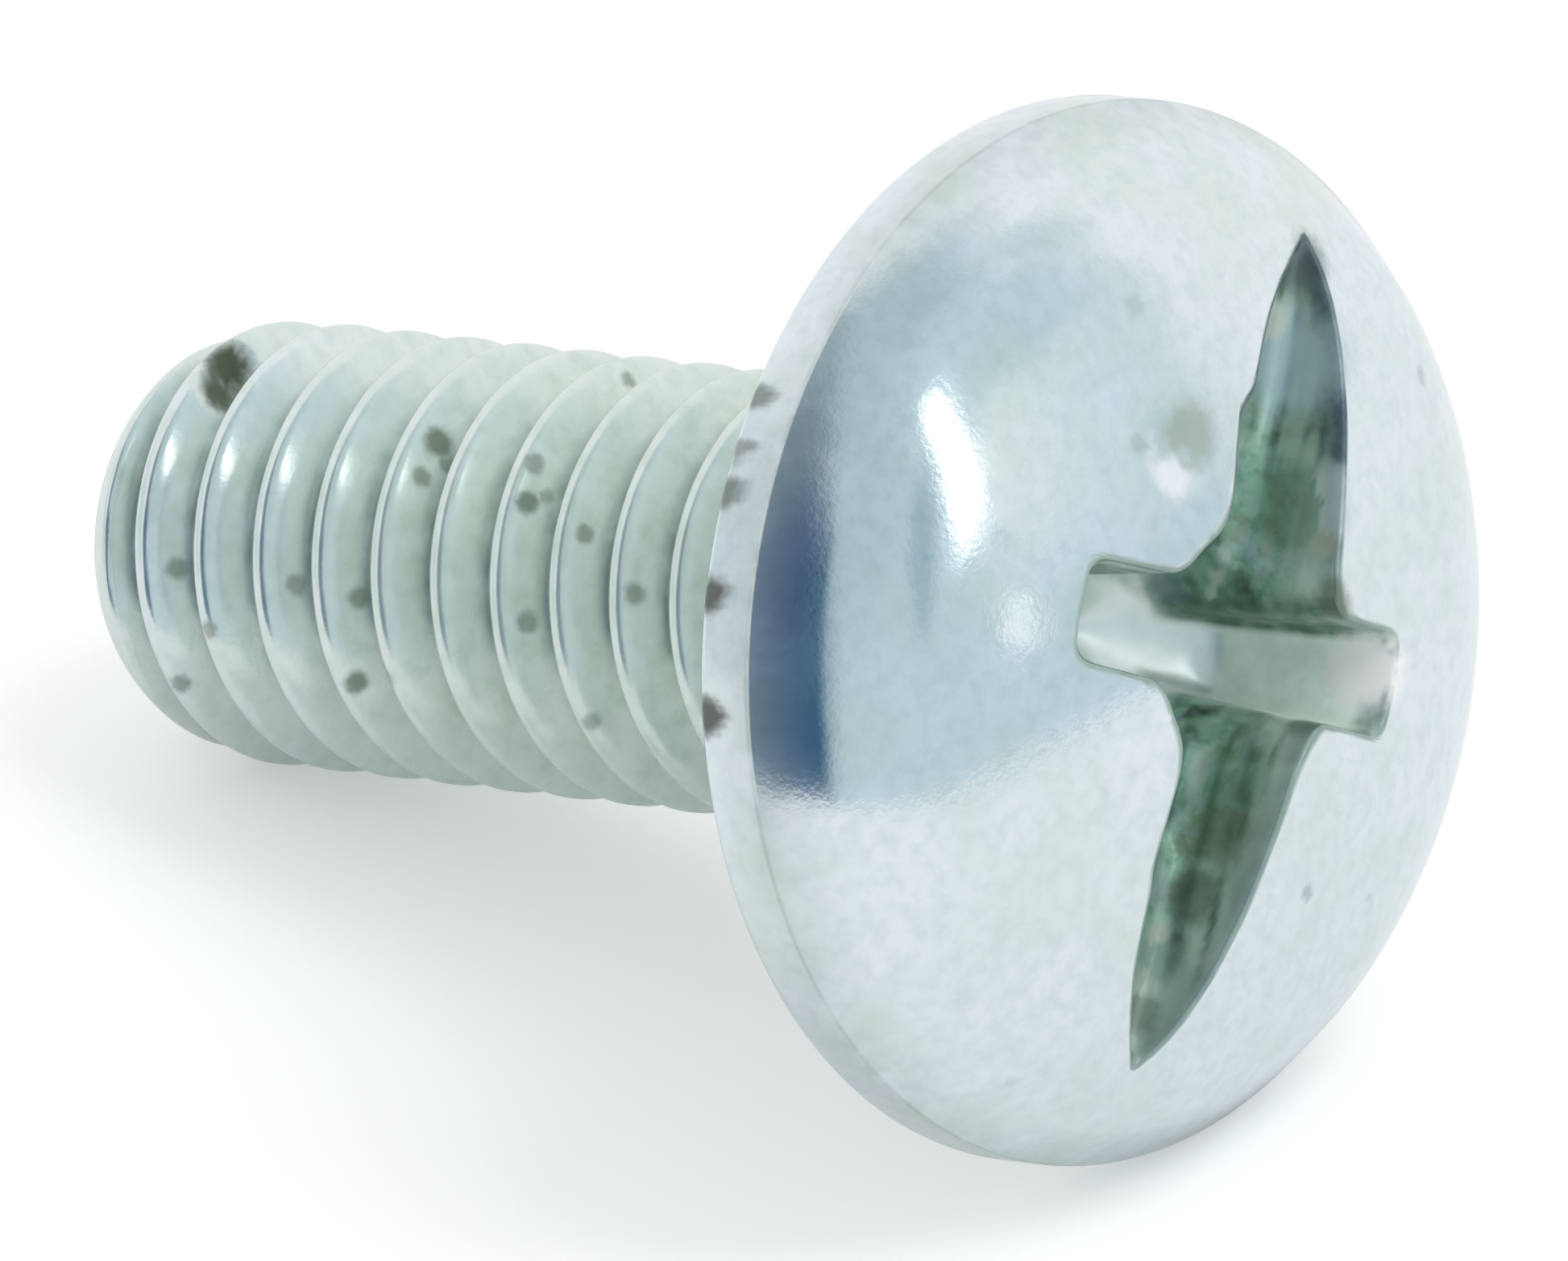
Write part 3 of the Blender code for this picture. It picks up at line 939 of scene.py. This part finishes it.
@dataclass(frozen=True)
class SoilAndShade:
    """Where film and soil collect on the struck head and the rolled shank, and where shade and a dark
    reflection are painted into the recess, the thread roots and the rim's crease.

    A pair holds the two values between which a share grows or fades. Depths are under the bare
    dome, or into the thread as a share of its own depth. Aside is measured from the middle line
    of the slot and along from the axis. All lengths are millimetres.
    """

    film_depth: tuple[float, float] = (0.003, 0.05)
    film_in_dimple: float = 0.12
    dimple_depth: float = 0.05
    rolled_tilt: tuple[float, float] = (0.002, 0.012)
    slot_depth: tuple[float, float] = (0.15, 0.75)
    slot_far_out: tuple[float, float] = (1.7, 3.2)
    slot_far_fade: float = 0.25
    wing_depth: tuple[float, float] = (0.08, 0.30)
    wing_aside: tuple[float, float] = (0.60, 0.90)
    bottom_depth: tuple[float, float] = (1.45, 1.65)
    side_slope: tuple[float, float] = (0.50, 0.80)
    side_aside: tuple[float, float] = (0.30, 0.50)
    side_facing: tuple[float, float] = (-0.10, 0.10)
    wedge_start: float = 0.48
    wedge_growth: float = 0.14
    wedge_growing: tuple[float, float] = (0.10, 0.50)
    wedge_ending: tuple[float, float] = (0.90, 1.20)
    wedge_fade: tuple[float, float] = (-0.03, 0.05)
    wedge_depth: tuple[float, float] = (0.90, 1.10)
    wedge_share: float = 0.40
    streak_length: float = 1.40
    streak_width: float = 0.13
    streak_depth: tuple[float, float] = (0.06, 0.20)
    streak_noise: tuple[float, float] = (0.10, 0.45)
    scrape_noise: tuple[float, float] = (0.20, 0.50)
    edge_depth: tuple[float, float] = (0.10, 0.26)
    edge_far_along: tuple[float, float] = (0.90, 1.40)
    edge_share: float = 0.40
    edge_wing_end: tuple[float, float] = (1.70, 2.00)
    edge_wing_end_fade: float = 0.60
    thread_worn: tuple[float, float] = (-8.0, -5.5)
    thread_flanks: tuple[float, float] = (0.10, 0.60)
    worn_share: float = 0.50
    crest_share: float = 0.70
    root_depth: tuple[float, float] = (0.70, 1.00)
    end_face_depth: tuple[float, float] = (1.05, 1.15)
    crease_inside: float = 0.08
    crease_height: tuple[float, float] = (0.0, 0.06)
    crease_share: float = 0.50

    def in_recess(self, head: Head, place: Vector, normal: Vector) -> dict[Area, float]:
        """Work out the shares of the recess's areas at a point of the crown.

        Args:
            head: The head.
            place: The point.
            normal: The surface's direction there.

        Returns:
            Each area's share, from 0 to 1.
        """
        slot, sunk = head.slot, head.sunk(place)
        along, across = slot.plan(place.x, place.y)
        aside = abs(across)
        in_wing = ramp(aside, *self.wing_aside)
        at_bottom = ramp(sunk, *self.bottom_depth)
        in_slot = (1 - in_wing) * (1 - at_bottom)
        dimpled = sunk < self.dimple_depth and head.dimple.holds(place)
        film = ramp(sunk, *self.film_depth) * (self.film_in_dimple if dimpled else 1.0)
        tilt = 1 - normal.dot(head.dome.normal(place))
        rolled = 0.0 if dimpled else ramp(tilt, *self.rolled_tilt)
        far_out = ramp(hypot(place.x, place.y), *self.slot_far_out)
        slope = abs(turned(normal.x, normal.y, slot.turn)[0])
        # Painted shade: the wing walls that face one way, and a wedge of one wing's floor beside them.
        side = ramp(slope, *self.side_slope) * ramp(sunk, *self.wing_depth)
        side *= ramp(aside, *self.side_aside) * ramp(-along, *self.side_facing)
        wedge = self.wedge_growth * ramp(across, *self.wedge_growing) - self.wedge_start - along
        wedge = ramp(wedge, *self.wedge_fade) * ramp(sunk, *self.wedge_depth)
        wedge *= 1 - ramp(across, *self.wedge_ending)
        streak = noise.noise(Vector((along / self.streak_length, across / self.streak_width,
                                     place.z / self.streak_width)))
        streaked = ramp(sunk, *self.streak_depth) * in_slot
        # Painted dark reflection on the rolled edges, stronger on one side of the slot and fainter at the
        # wing ends.
        edge = self.edge_share + (1 - self.edge_share) * ramp(-along, *self.edge_far_along)
        edge *= 1 - self.edge_wing_end_fade * ramp(-across, *self.edge_wing_end)
        return {
            Area.RECESS: max(film, rolled),
            # Green film and painted shade in the slot, growing with depth and fading far out.
            Area.SLOT: ramp(sunk, *self.slot_depth) * in_slot * (1 - self.slot_far_fade * far_out),
            Area.WINGS: ramp(sunk, *self.wing_depth) * in_wing * (1 - at_bottom),
            Area.BOTTOM: at_bottom,
            Area.SIDES: max(side, self.wedge_share * wedge),
            Area.STREAKS: ramp(streak, *self.streak_noise) * streaked,
            Area.SCRAPES: ramp(-streak, *self.scrape_noise) * streaked,
            Area.EDGE: rolled * (1 - ramp(sunk, *self.edge_depth)) * edge,
        }

    def on_shank(self, shank: Shank, place: Vector) -> dict[Area, float]:
        """Work out the shares of the thread's areas at a point of the shank.

        Args:
            shank: The shank.
            place: The point.

        Returns:
            Each area's share, from 0 to 1.
        """
        depth = (shank.thread_radius - hypot(place.x, place.y)) / shank.depth
        worn = self.worn_share + (1 - self.worn_share) * ramp(place.z, *self.thread_worn)
        flank = self.crest_share + (1 - self.crest_share) * ramp(depth, *self.thread_flanks)
        # Painted shade in the thread roots, which stops short of the end face.
        root = ramp(depth, *self.root_depth) if place.z < -shank.neck_length else 0.0
        return {Area.THREAD: worn * flank, Area.CREASE_SHADE: root * (1 - ramp(depth, *self.end_face_depth))}

    def on_rim(self, dome: Dome, place: Vector) -> dict[Area, float]:
        """Work out the share of the painted shade in the crease along the rim's upper edge.

        Args:
            dome: The head's dome.
            place: A point of the rim or the bearing face.

        Returns:
            The share of the painted crease shade, from 0 to 1.
        """
        if hypot(place.x, place.y) <= dome.head_radius - self.crease_inside:
            return {}
        crease = 1 - ramp(abs(place.z - dome.rim_height), *self.crease_height)
        return {Area.CREASE_SHADE: self.crease_share * crease}


@dataclass
class Screw:
    """The whole screw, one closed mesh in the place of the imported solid."""

    placement: Placement
    head: Head = field(default_factory=Head)
    shank: Shank = field(default_factory=Shank)
    finish: BrightZincPlate = field(default_factory=BrightZincPlate)
    soil_and_shade: SoilAndShade = field(default_factory=SoilAndShade)
    easing: int = 8
    easing_factor: float = 0.5
    struck_depth: float = 0.04
    spots: tuple[Spot, ...] = (
        Spot(-173, -9.00, 0.44, 1.0, "#44513c"),
        Spot(-168, -9.00, 0.26, 0.9, "#44513c"),
        Spot(-164, -8.93, 0.34, 0.95, "#44513c"),
        Spot(-177, -8.80, 0.26, 0.8, "#4d5a45"),
        Spot(-153, -6.12, 0.25, 0.85),
        Spot(-148, -6.02, 0.14, 0.6),
        Spot(-141, -6.10, 0.17),
        Spot(168, -4.83, 0.15, 0.6),
        Spot(-147, -4.78, 0.18, 0.6),
        Spot(-136, -4.73, 0.20, 0.8),
        Spot(-140, -4.66, 0.12, 0.5),
        Spot(-129, -4.00, 0.16, 0.6),
        Spot(-106, -8.80, 0.19, 0.6),
        Spot(-73, -8.87, 0.17, 0.6),
        Spot(-79, -6.74, 0.20, 0.75),
        Spot(-105, -7.39, 0.18, 0.55),
        Spot(-103, -6.68, 0.18, 0.6),
        Spot(-92, -8.25, 0.15, 0.5),
        Spot(-114, -3.29, 0.18, 0.6),
        Spot(-102, -4.62, 0.19, 0.6),
        Spot(-76, -3.97, 0.16, 0.5),
        Spot(-84, -6.22, 0.14, 0.45),
        Spot(-88, -7.75, 0.13, 0.4),
        Spot(-139, 0.12, 0.22, 0.7, "#55635a", 4.60),
        Spot(-133, 0.08, 0.18, 0.6, "#55635a", 4.60),
        Spot(-128, 0.08, 0.26, 0.75, "#4f5c52", 4.60),
        Spot(-117, 0.12, 0.30, 0.9, "#474c42", 4.60),
        Spot(-104, 0.10, 0.32, 0.9, "#474c42", 4.60),
        Spot(180, 1.77, 0.20, 0.30, "#7f8f95", 3.16),
        Spot(6, 1.99, 0.15, 0.45, "#87939c", 2.44),
        Spot(22, 1.76, 0.13, 0.30, "#87939c", 3.18),
        Spot(107, 1.60, 0.18, 0.35, "#87939c", 3.57),
        Spot(-91, 1.34, 0.14, 0.25, "#7f8f95", 4.06),
        Spot(-57, 0.90, 0.20, 0.30, "#7f8f95", 4.42),
        Spot(-46, 1.22, 0.18, 0.25, "#7f8f95", 4.19),
        Spot(-131, 1.83, 0.22, 0.30, "#9db3bf", 3.00),
        Spot(-180, 2.07, 0.56, 0.75, "#9aac9f", 1.99),
        Spot(-176, 2.09, 0.26, 0.35, "#8ba08f", 1.86),
        Spot(-165, 2.04, 0.18, 0.45, "#8fa3a8", 2.22),
        # Painted highlight: a near-white spot on the dimple's inner side.
        Spot(-169, 2.10, 0.34, 0.60, "#fbfdff", 1.78),
        Spot(112, 2.10, 0.36, 0.6, "#c9d6d6", 1.58),
        Spot(118, 2.00, 0.34, 0.6, "#c9d6d6", 1.80),
        Spot(107, 2.05, 0.22, 0.6, "#b9b9a4", 1.37),
        Spot(90, 2.19, 0.30, 0.6, "#5b6650", 1.13),
        Spot(117, 1.67, 0.66, 0.45, "#4d7a5c", 1.52),
        Spot(130, 1.50, 0.80, 0.75, "#abc5ce", 2.65),
        Spot(137, 1.36, 0.36, 0.75, "#cbd6cb", 2.91),
        Spot(137, 1.47, 0.46, 0.70, "#5f6c6c", 3.46),
        Spot(-2, 1.66, 0.66, 0.45, "#4f8068", 1.28),
        Spot(-10, 1.66, 0.56, 0.50, "#5c694a", 1.65),
        Spot(-18, 1.55, 0.44, 0.65, "#4e604e", 2.20),
        Spot(-24, 1.42, 0.40, 0.55, "#6f8a80", 2.73),
        Spot(-24, 1.39, 0.20, 0.60, "#b0aca0", 2.55),
        Spot(-27, 1.38, 0.26, 0.45, "#9c9a90", 2.92),
        Spot(-28, 1.38, 0.36, 0.65, "#5a5d50", 3.20),
        # Painted highlight: a white spot at the end of one wing.
        Spot(60, 1.86, 0.60, 1.0, "#ffffff", 1.93),
        # A darker spot deep in the middle of the cross.
        Spot(96, 0.61, 0.34, 0.60, "#35606b", 0.79),
        Spot(84, 2.15, 0.30, 0.60, "#5a6450", 1.18),
        Spot(31, 2.05, 0.26, 0.60, "#566a58", 1.12),
    )
    nicks: tuple[Nick, ...] = (
        Nick(height=-8.98, angle=radians(-173), length=0.26, width=0.30, depth=0.16),
        Nick(height=-8.96, angle=radians(-164), length=0.20, width=0.24, depth=0.13),
    )

    def build(self) -> bpy.types.Object:
        """Build the mesh, dress it and put it in the solid's place.

        Returns:
            The finished object.
        """
        bm = bmesh.new()
        upper = draw_rings(bm, self.head.rings())
        lower = draw_rings(bm, self.shank.rings())
        self.join(bm, upper, lower)
        self.ease(bm)
        self.knock(bm)
        bmesh.ops.recalc_face_normals(bm, faces=bm.faces)
        bm.normal_update()
        shares = self.shares(bm)
        self.roughen(bm)
        colours, shares[Area.SPOTS] = self.marks(np.array([vert.co for vert in bm.verts]))
        piece = new_piece("screw", bm)
        mesh = piece.data
        for area, values in shares.items():
            mesh.attributes.new(area.value, "FLOAT", "POINT").data.foreach_set("value", values)
        mesh.attributes.new(SPOT_COLOUR, "FLOAT_COLOR", "POINT").data.foreach_set("color", colours.ravel())
        mesh.transform(self.placement.matrix())
        mesh.shade_smooth()
        mesh.materials.append(self.finish.material())
        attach(piece, BODY)
        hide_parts(NODE)
        return piece

    def marks(self, places: np.ndarray) -> tuple[np.ndarray, np.ndarray]:
        """Work out the colour, the nearness and the strength of the spots at each vertex.

        Args:
            places: The vertices, in millimetres on the screw's own axis.

        Returns:
            For each vertex, the nearest spot's linear colour with 1 in its alpha at the spot's
            centre and 0.5 at its edge, and the spot's strength.
        """
        near = np.full(len(places), -np.inf)
        colours = np.zeros((len(places), 4))
        strengths = np.zeros(len(places))
        for spot in self.spots:
            angle = radians(spot.angle)
            radius = spot.radius or float(self.shank.radius(np.array(angle), np.array(spot.height)))
            centre = np.array((radius * cos(angle), radius * sin(angle), spot.height))
            here = 1 - np.linalg.norm(places - centre, axis=1) / spot.size
            nearer = here > near
            near[nearer] = here[nearer]
            colours[nearer] = linear(spot.colour)
            strengths[nearer] = spot.strength
        colours[:, 3] = np.clip(near, 0, 1)
        return colours, strengths

    def join(self, bm: bmesh.types.BMesh, upper: list[bmesh.types.BMEdge],
             lower: list[bmesh.types.BMEdge]) -> None:
        """Join the head and the shank on the bearing face.

        The lower loop is held below the upper one meanwhile, because two loops in one plane can
        be bridged the wrong way round.

        Args:
            bm: The mesh of the head and the shank.
            upper: Edges of the head's open loop.
            lower: Edges of the shank's open loop.
        """
        loop = list({vert for edge in lower for vert in edge.verts})
        drop = Vector((0, 0, self.shank.neck_length))
        bmesh.ops.translate(bm, verts=loop, vec=-drop)
        bmesh.ops.bridge_loops(bm, edges=upper + lower)
        bmesh.ops.translate(bm, verts=loop, vec=drop)

    def ease(self, bm: bmesh.types.BMesh) -> None:
        """Even out the steep walls of the recess, where neighbouring rays differ most.

        Args:
            bm: The screw's mesh, on its own axis.
        """
        struck = [vert for vert in bm.verts if self.head.sunk(vert.co) > self.struck_depth]
        for _ in range(self.easing):
            bmesh.ops.smooth_vert(bm, verts=struck, factor=self.easing_factor, use_axis_x=True,
                                  use_axis_y=True, use_axis_z=True)

    def knock(self, bm: bmesh.types.BMesh) -> None:
        """Push the dents into the thread.

        Args:
            bm: The screw's mesh, on its own axis.
        """
        for nick in self.nicks:
            for vert in bm.verts:
                if abs(vert.co.z - nick.height) > 2 * nick.length:
                    continue
                radius = hypot(vert.co.x, vert.co.y)
                aside = (atan2(vert.co.y, vert.co.x) - nick.angle + pi) % (2 * pi) - pi
                near = ((vert.co.z - nick.height) / nick.length) ** 2 + (aside * radius / nick.width) ** 2
                if near < 1:
                    keep = 1 - nick.depth * (1 - near) ** 2 / radius
                    vert.co.x *= keep
                    vert.co.y *= keep

    def roughen(self, bm: bmesh.types.BMesh) -> None:
        """Give the surface the slight unevenness of forging and plating.

        Args:
            bm: The screw's mesh, with its normals outwards.
        """
        for vert in bm.verts:
            if abs(vert.co.z) < FACE_MARGIN:
                continue
            for size, depth in (wear.value for wear in Wear):
                vert.co -= vert.normal * depth * (1 + noise.noise(vert.co / size)) / 2

    def shares(self, bm: bmesh.types.BMesh) -> dict[Area, list[float]]:
        """Work out where film and soil collect and where light and shade are painted.

        Args:
            bm: The screw's mesh, on its own axis.

        Returns:
            Each area's share at each vertex, from 0 to 1.
        """
        shares = {area: [] for area in Area if area is not Area.SPOTS}
        for vert in bm.verts:
            if self.head.sunk(vert.co):
                here = self.soil_and_shade.in_recess(self.head, vert.co, vert.normal)
            elif vert.co.z < -FACE_MARGIN / 2:
                here = self.soil_and_shade.on_shank(self.shank, vert.co)
            else:
                here = self.soil_and_shade.on_rim(self.head.dome, vert.co)
            here[Area.PLATE] = 1.0
            for area, values in shares.items():
                values.append(here.get(area, 0.0))
        return shares


@dataclass(frozen=True)
class Patch:
    """A soft-edged field of colour on the light tent, placed by direction, in degrees."""

    colour: str
    azimuth: float
    elevation: float
    half_width: float
    half_height: float
    softness: float = 0.4
    lean: float = 0.0
    power: float = 2.0
    strength: float = 1.0


@dataclass
class LightTent:
    """A tent of white cloth round the screw, with what stands behind it showing through.

    Only reflections see it. Its fields of colour are a blue-grey wall, a dark doorway on the
    camera's side, and a narrow bright gap that gives the head its highlight.
    """

    radius: float = 0.5
    hem: float = -0.10
    cloth: str = "#ffffff"
    ripple_size: float = 0.09
    ripple_octaves: float = 3.0
    ripple: float = 0.35
    segments: int = 64
    patches: tuple[Patch, ...] = (
        Patch("#d3e2e7", 84, 36, 54, 52, 0.16, 0.0, 4.0),
        Patch("#bccfd8", 88, 84, 100, 18, 0.6, 0.0, 4.0),
        Patch("#dbe7ea", 146, 54, 10, 14, 0.6),
        Patch("#e6f0f3", 122, 20, 12, 12, 0.6),
        Patch("#e0e7ea", -48, 10, 32, 22, 0.6),
        Patch("#c4d3d9", 58, 50, 22, 26, 0.7),
        Patch("#f4f9f8", 109, 26, 8, 12, 0.6),
        Patch("#a9bfca", 84, 30, 5, 12, 0.6),
        Patch("#869ca8", 6, 66, 26, 24, 0.6),
        Patch("#5c7586", 16, 44, 18, 24, 0.5),
        Patch("#54778f", 26, 16, 18.8, 27, 0.48, 0.0, 3.0),
        Patch("#1f4a78", 25, 36, 10, 14, 0.6),
        Patch("#335c80", 28, 8, 11, 12, 0.5),
        Patch("#ffffff", 96, 36, 4.1, 16.5, 0.16, -0.28, 4.0, 3.2),
        Patch("#ffffff", 104, 9, 2.0, 2.6, 0.5, 0.0, 2.0, 1.25),
    )

    def build(self) -> bpy.types.Object:
        """Put up the tent.

        Returns:
            The tent, a half sphere that only reflections see.
        """
        bm = bmesh.new()
        bmesh.ops.create_uvsphere(bm, u_segments=self.segments, v_segments=self.segments // 2,
                                  radius=self.radius)
        geometry = bm.verts[:] + bm.edges[:] + bm.faces[:]
        bmesh.ops.bisect_plane(bm, geom=geometry, plane_co=(0, 0, self.hem), plane_no=(0, 0, 1),
                               clear_inner=True)
        tent = new_piece("light_tent", bm)
        tent.data.materials.append(self.material())
        tent.visible_camera = False
        tent.visible_diffuse = False
        tent.visible_transmission = False
        tent.visible_shadow = False
        return tent

    def material(self) -> bpy.types.Material:
        """Build the tent's glow, painted patch by patch.

        Returns:
            The material.
        """
        material = new_material("white_tent_cloth")
        tree = material.node_tree
        tree.nodes.remove(tree.nodes["Principled BSDF"])
        place = add_node(tree, "ShaderNodeTexCoord", output="Object")
        outward = add_node(tree, "ShaderNodeVectorMath", {0: place}, operation="NORMALIZE")
        x, y, z = add_node(tree, "ShaderNodeSeparateXYZ", {0: outward}).node.outputs
        back = add_node(tree, "ShaderNodeMath", {0: y, 1: -1.0}, operation="MULTIPLY")
        azimuth = add_node(tree, "ShaderNodeMath", {0: x, 1: back}, operation="ARCTAN2")
        elevation = add_node(tree, "ShaderNodeMath", {0: z}, operation="ARCSINE")
        angles = [add_node(tree, "ShaderNodeMath", {0: angle, 1: degrees(1)}, operation="MULTIPLY")
                  for angle in (azimuth, elevation)]
        ripples = add_node(tree, "ShaderNodeTexNoise", {
            "Vector": place, "Scale": 1 / self.ripple_size, "Detail": self.ripple_octaves})
        wobble = add_node(tree, "ShaderNodeMath", {0: ripples, 1: self.ripple, 2: -self.ripple / 2},
                          operation="MULTIPLY_ADD")
        colour, strength = linear(self.cloth), 1.0
        for patch in self.patches:
            mask = self.mask(tree, patch, angles, wobble)
            colour = add_node(tree, "ShaderNodeMix", {0: mask, 6: colour, 7: linear(patch.colour)}, 2,
                              data_type="RGBA")
            strength = add_node(tree, "ShaderNodeMix", {0: mask, 2: strength, 3: patch.strength})
        glow = add_node(tree, "ShaderNodeEmission", {"Color": colour, "Strength": strength})
        tree.links.new(glow, tree.nodes["Material Output"].inputs["Surface"])
        return material

    def mask(self, tree: bpy.types.NodeTree, patch: Patch, angles: list[bpy.types.NodeSocket],
             wobble: bpy.types.NodeSocket) -> bpy.types.NodeSocket:
        """Work out where a patch lies.

        Args:
            tree: The node tree.
            patch: The patch.
            angles: Sockets of the azimuth and the elevation in degrees.
            wobble: Socket of the noise that makes the edges uneven.

        Returns:
            A socket that is 1 inside the patch and 0 outside.
        """
        across = add_node(tree, "ShaderNodeMath", {0: angles[0], 1: patch.azimuth}, operation="SUBTRACT")
        up = add_node(tree, "ShaderNodeMath", {0: angles[1], 1: patch.elevation}, operation="SUBTRACT")
        across = add_node(tree, "ShaderNodeMath", {0: up, 1: -patch.lean, 2: across},
                          operation="MULTIPLY_ADD")
        terms = []
        for offset, half in ((across, patch.half_width), (up, patch.half_height)):
            share = add_node(tree, "ShaderNodeMath", {0: offset, 1: half}, operation="DIVIDE")
            share = add_node(tree, "ShaderNodeMath", {0: share}, operation="ABSOLUTE")
            terms.append(add_node(tree, "ShaderNodeMath", {0: share, 1: patch.power}, operation="POWER"))
        total = add_node(tree, "ShaderNodeMath", {0: terms[0], 1: terms[1]}, operation="ADD")
        total = add_node(tree, "ShaderNodeMath", {0: total, 1: 1 / patch.power}, operation="POWER")
        total = add_node(tree, "ShaderNodeMath", {0: total, 1: wobble}, operation="ADD")
        return add_node(tree, "ShaderNodeMapRange", {
            "Value": total, "From Min": 1 - patch.softness, "From Max": 1 + patch.softness,
            "To Min": 1.0, "To Max": 0.0}, interpolation_type="SMOOTHSTEP")


@dataclass
class Studio:
    """A pale floor, a white surround, soft panels and the camera."""

    axis: Vector
    axis_to_view: float = radians(48)
    axis_fall: float = radians(6.42)
    view_width: float = 13.61 * MM
    camera_distance: float = 0.40
    sensor: float = 36.0
    board_radius: float = 0.075
    board_segments: int = 96
    board_colour: str = "#f2f4f4"
    board_roughness: float = 0.9
    board_glow: float = 0.30
    board_glow_in_metal: float = 0.13
    surround_light: float = 0.72
    surround_seen: float = 1.0
    lamp_size: float = 0.35
    lamp_energy: float = 0.9
    lamp_distance: float = 0.6
    lamp_azimuth: float = radians(120)
    lamp_elevation: float = radians(62)
    tent: LightTent = field(default_factory=LightTent)

    def view_angles(self) -> tuple[float, float]:
        """Work out the camera's azimuth and elevation from how the screw's axis looks.

        Returns:
            Azimuth and elevation in radians.
        """
        azimuth = acos(sin(self.axis_to_view) * cos(self.axis_fall) / self.axis.x)
        level = self.axis.x * sin(azimuth)
        reach = hypot(level, self.axis.z)
        fall = sin(self.axis_to_view) * sin(self.axis_fall)
        return azimuth, acos(-fall / reach) - atan2(level, self.axis.z)

    def camera(self, piece: bpy.types.Object) -> bpy.types.Object:
        """Place the camera square to the middle of the screw's image.

        Args:
            piece: The object to look at.

        Returns:
            The camera.
        """
        azimuth, elevation = self.view_angles()
        right = Vector((cos(azimuth), sin(azimuth), 0))
        back = direction(azimuth, elevation)
        up = back.cross(right)
        places = np.array([v.co for v in piece.data.vertices])
        middle = [(np.max(places @ np.array(d)) + np.min(places @ np.array(d))) / 2 for d in (right, up)]
        data = bpy.data.cameras.new("camera")
        data.sensor_width = self.sensor
        data.lens = self.sensor * self.camera_distance / self.view_width
        camera = bpy.data.objects.new("camera", data)
        bpy.context.scene.collection.objects.link(camera)
        turn = Matrix((right, up, back)).transposed().to_4x4()
        aim = right * middle[0] + up * middle[1]
        camera.matrix_world = Matrix.Translation(aim + back * self.camera_distance) @ turn
        bpy.context.scene.camera = camera
        log.info("camera azimuth %.2f, elevation %.2f", degrees(azimuth), degrees(elevation))
        return camera

    def floor(self) -> bpy.types.Object:
        """Lay the pale floor that the screw lies on.

        Returns:
            The floor, a round matt board.
        """
        bm = bmesh.new()
        bmesh.ops.create_circle(bm, cap_ends=True, segments=self.board_segments,
                                radius=self.board_radius)
        floor = new_piece("floor", bm)
        material = new_material("matt_white_board")
        tree = material.node_tree
        shader = tree.nodes["Principled BSDF"]
        shader.inputs["Base Color"].default_value = linear(self.board_colour)
        shader.inputs["Roughness"].default_value = self.board_roughness
        shader.inputs["Specular IOR Level"].default_value = 0.0
        shader.inputs["Emission Color"].default_value = linear("#ffffff")
        level = add_node(tree, "ShaderNodeMapRange", {
            "Value": self.seen(tree), "To Min": 0.0, "To Max": self.board_glow})
        in_metal = add_node(tree, "ShaderNodeLightPath", output="Is Glossy Ray")
        glow = add_node(tree, "ShaderNodeMath", {
            0: in_metal, 1: self.board_glow_in_metal - self.board_glow, 2: level}, operation="MULTIPLY_ADD")
        tree.links.new(glow, shader.inputs["Emission Strength"])
        floor.data.materials.append(material)
        return floor

    def seen(self, tree: bpy.types.NodeTree) -> bpy.types.NodeSocket:
        """Tell what is seen directly, in metal or through glass from what only gives light.

        Args:
            tree: The node tree.

        Returns:
            A socket that is 1 for what is seen and 0 for light.
        """
        path = add_node(tree, "ShaderNodeLightPath").node.outputs
        both = add_node(tree, "ShaderNodeMath", {0: path["Is Camera Ray"], 1: path["Is Glossy Ray"]},
                        operation="MAXIMUM")
        return add_node(tree, "ShaderNodeMath", {0: both, 1: path["Is Transmission Ray"]},
                        operation="MAXIMUM")

    def surround(self) -> None:
        """Set the white surround, which lights the floor a little less than it shows."""
        world = bpy.data.worlds.new("white_surround")
        bpy.context.scene.world = world
        world.use_nodes = True
        tree = world.node_tree
        background = tree.nodes["Background"]
        background.inputs["Color"].default_value = linear("#ffffff")
        level = add_node(tree, "ShaderNodeMapRange", {
            "Value": self.seen(tree), "To Min": self.surround_light, "To Max": self.surround_seen})
        tree.links.new(level, background.inputs["Strength"])

    def key(self) -> bpy.types.Object:
        """Hang the soft lamp that gives the floor its shadow.

        Returns:
            The lamp.
        """
        data = bpy.data.lights.new("key", "AREA")
        data.shape = "DISK"
        data.size = self.lamp_size
        data.energy = self.lamp_energy
        light = bpy.data.objects.new("key", data)
        bpy.context.scene.collection.objects.link(light)
        back = direction(self.lamp_azimuth, self.lamp_elevation)
        turn = back.to_track_quat("Z", "Y").to_matrix().to_4x4()
        light.matrix_world = Matrix.Translation(back * self.lamp_distance) @ turn
        light.visible_glossy = False
        return light

    def build(self, piece: bpy.types.Object) -> None:
        """Set up the whole studio round the screw.

        Args:
            piece: The screw.
        """
        self.camera(piece)
        self.floor()
        self.surround()
        self.key()
        self.tent.build()


def main() -> None:
    """Build the screw and its studio."""
    logging.basicConfig(level=logging.INFO, format="%(name)s: %(message)s")
    bpy.context.scene.view_settings.view_transform = "Standard"
    placement = Placement.from_record(frame["record"])
    screw = Screw(placement).build()
    log.info("screw: %d vertices, %d faces", len(screw.data.vertices), len(screw.data.polygons))
    Studio(placement.axis).build(screw)


if __name__ == "__main__":
    main()
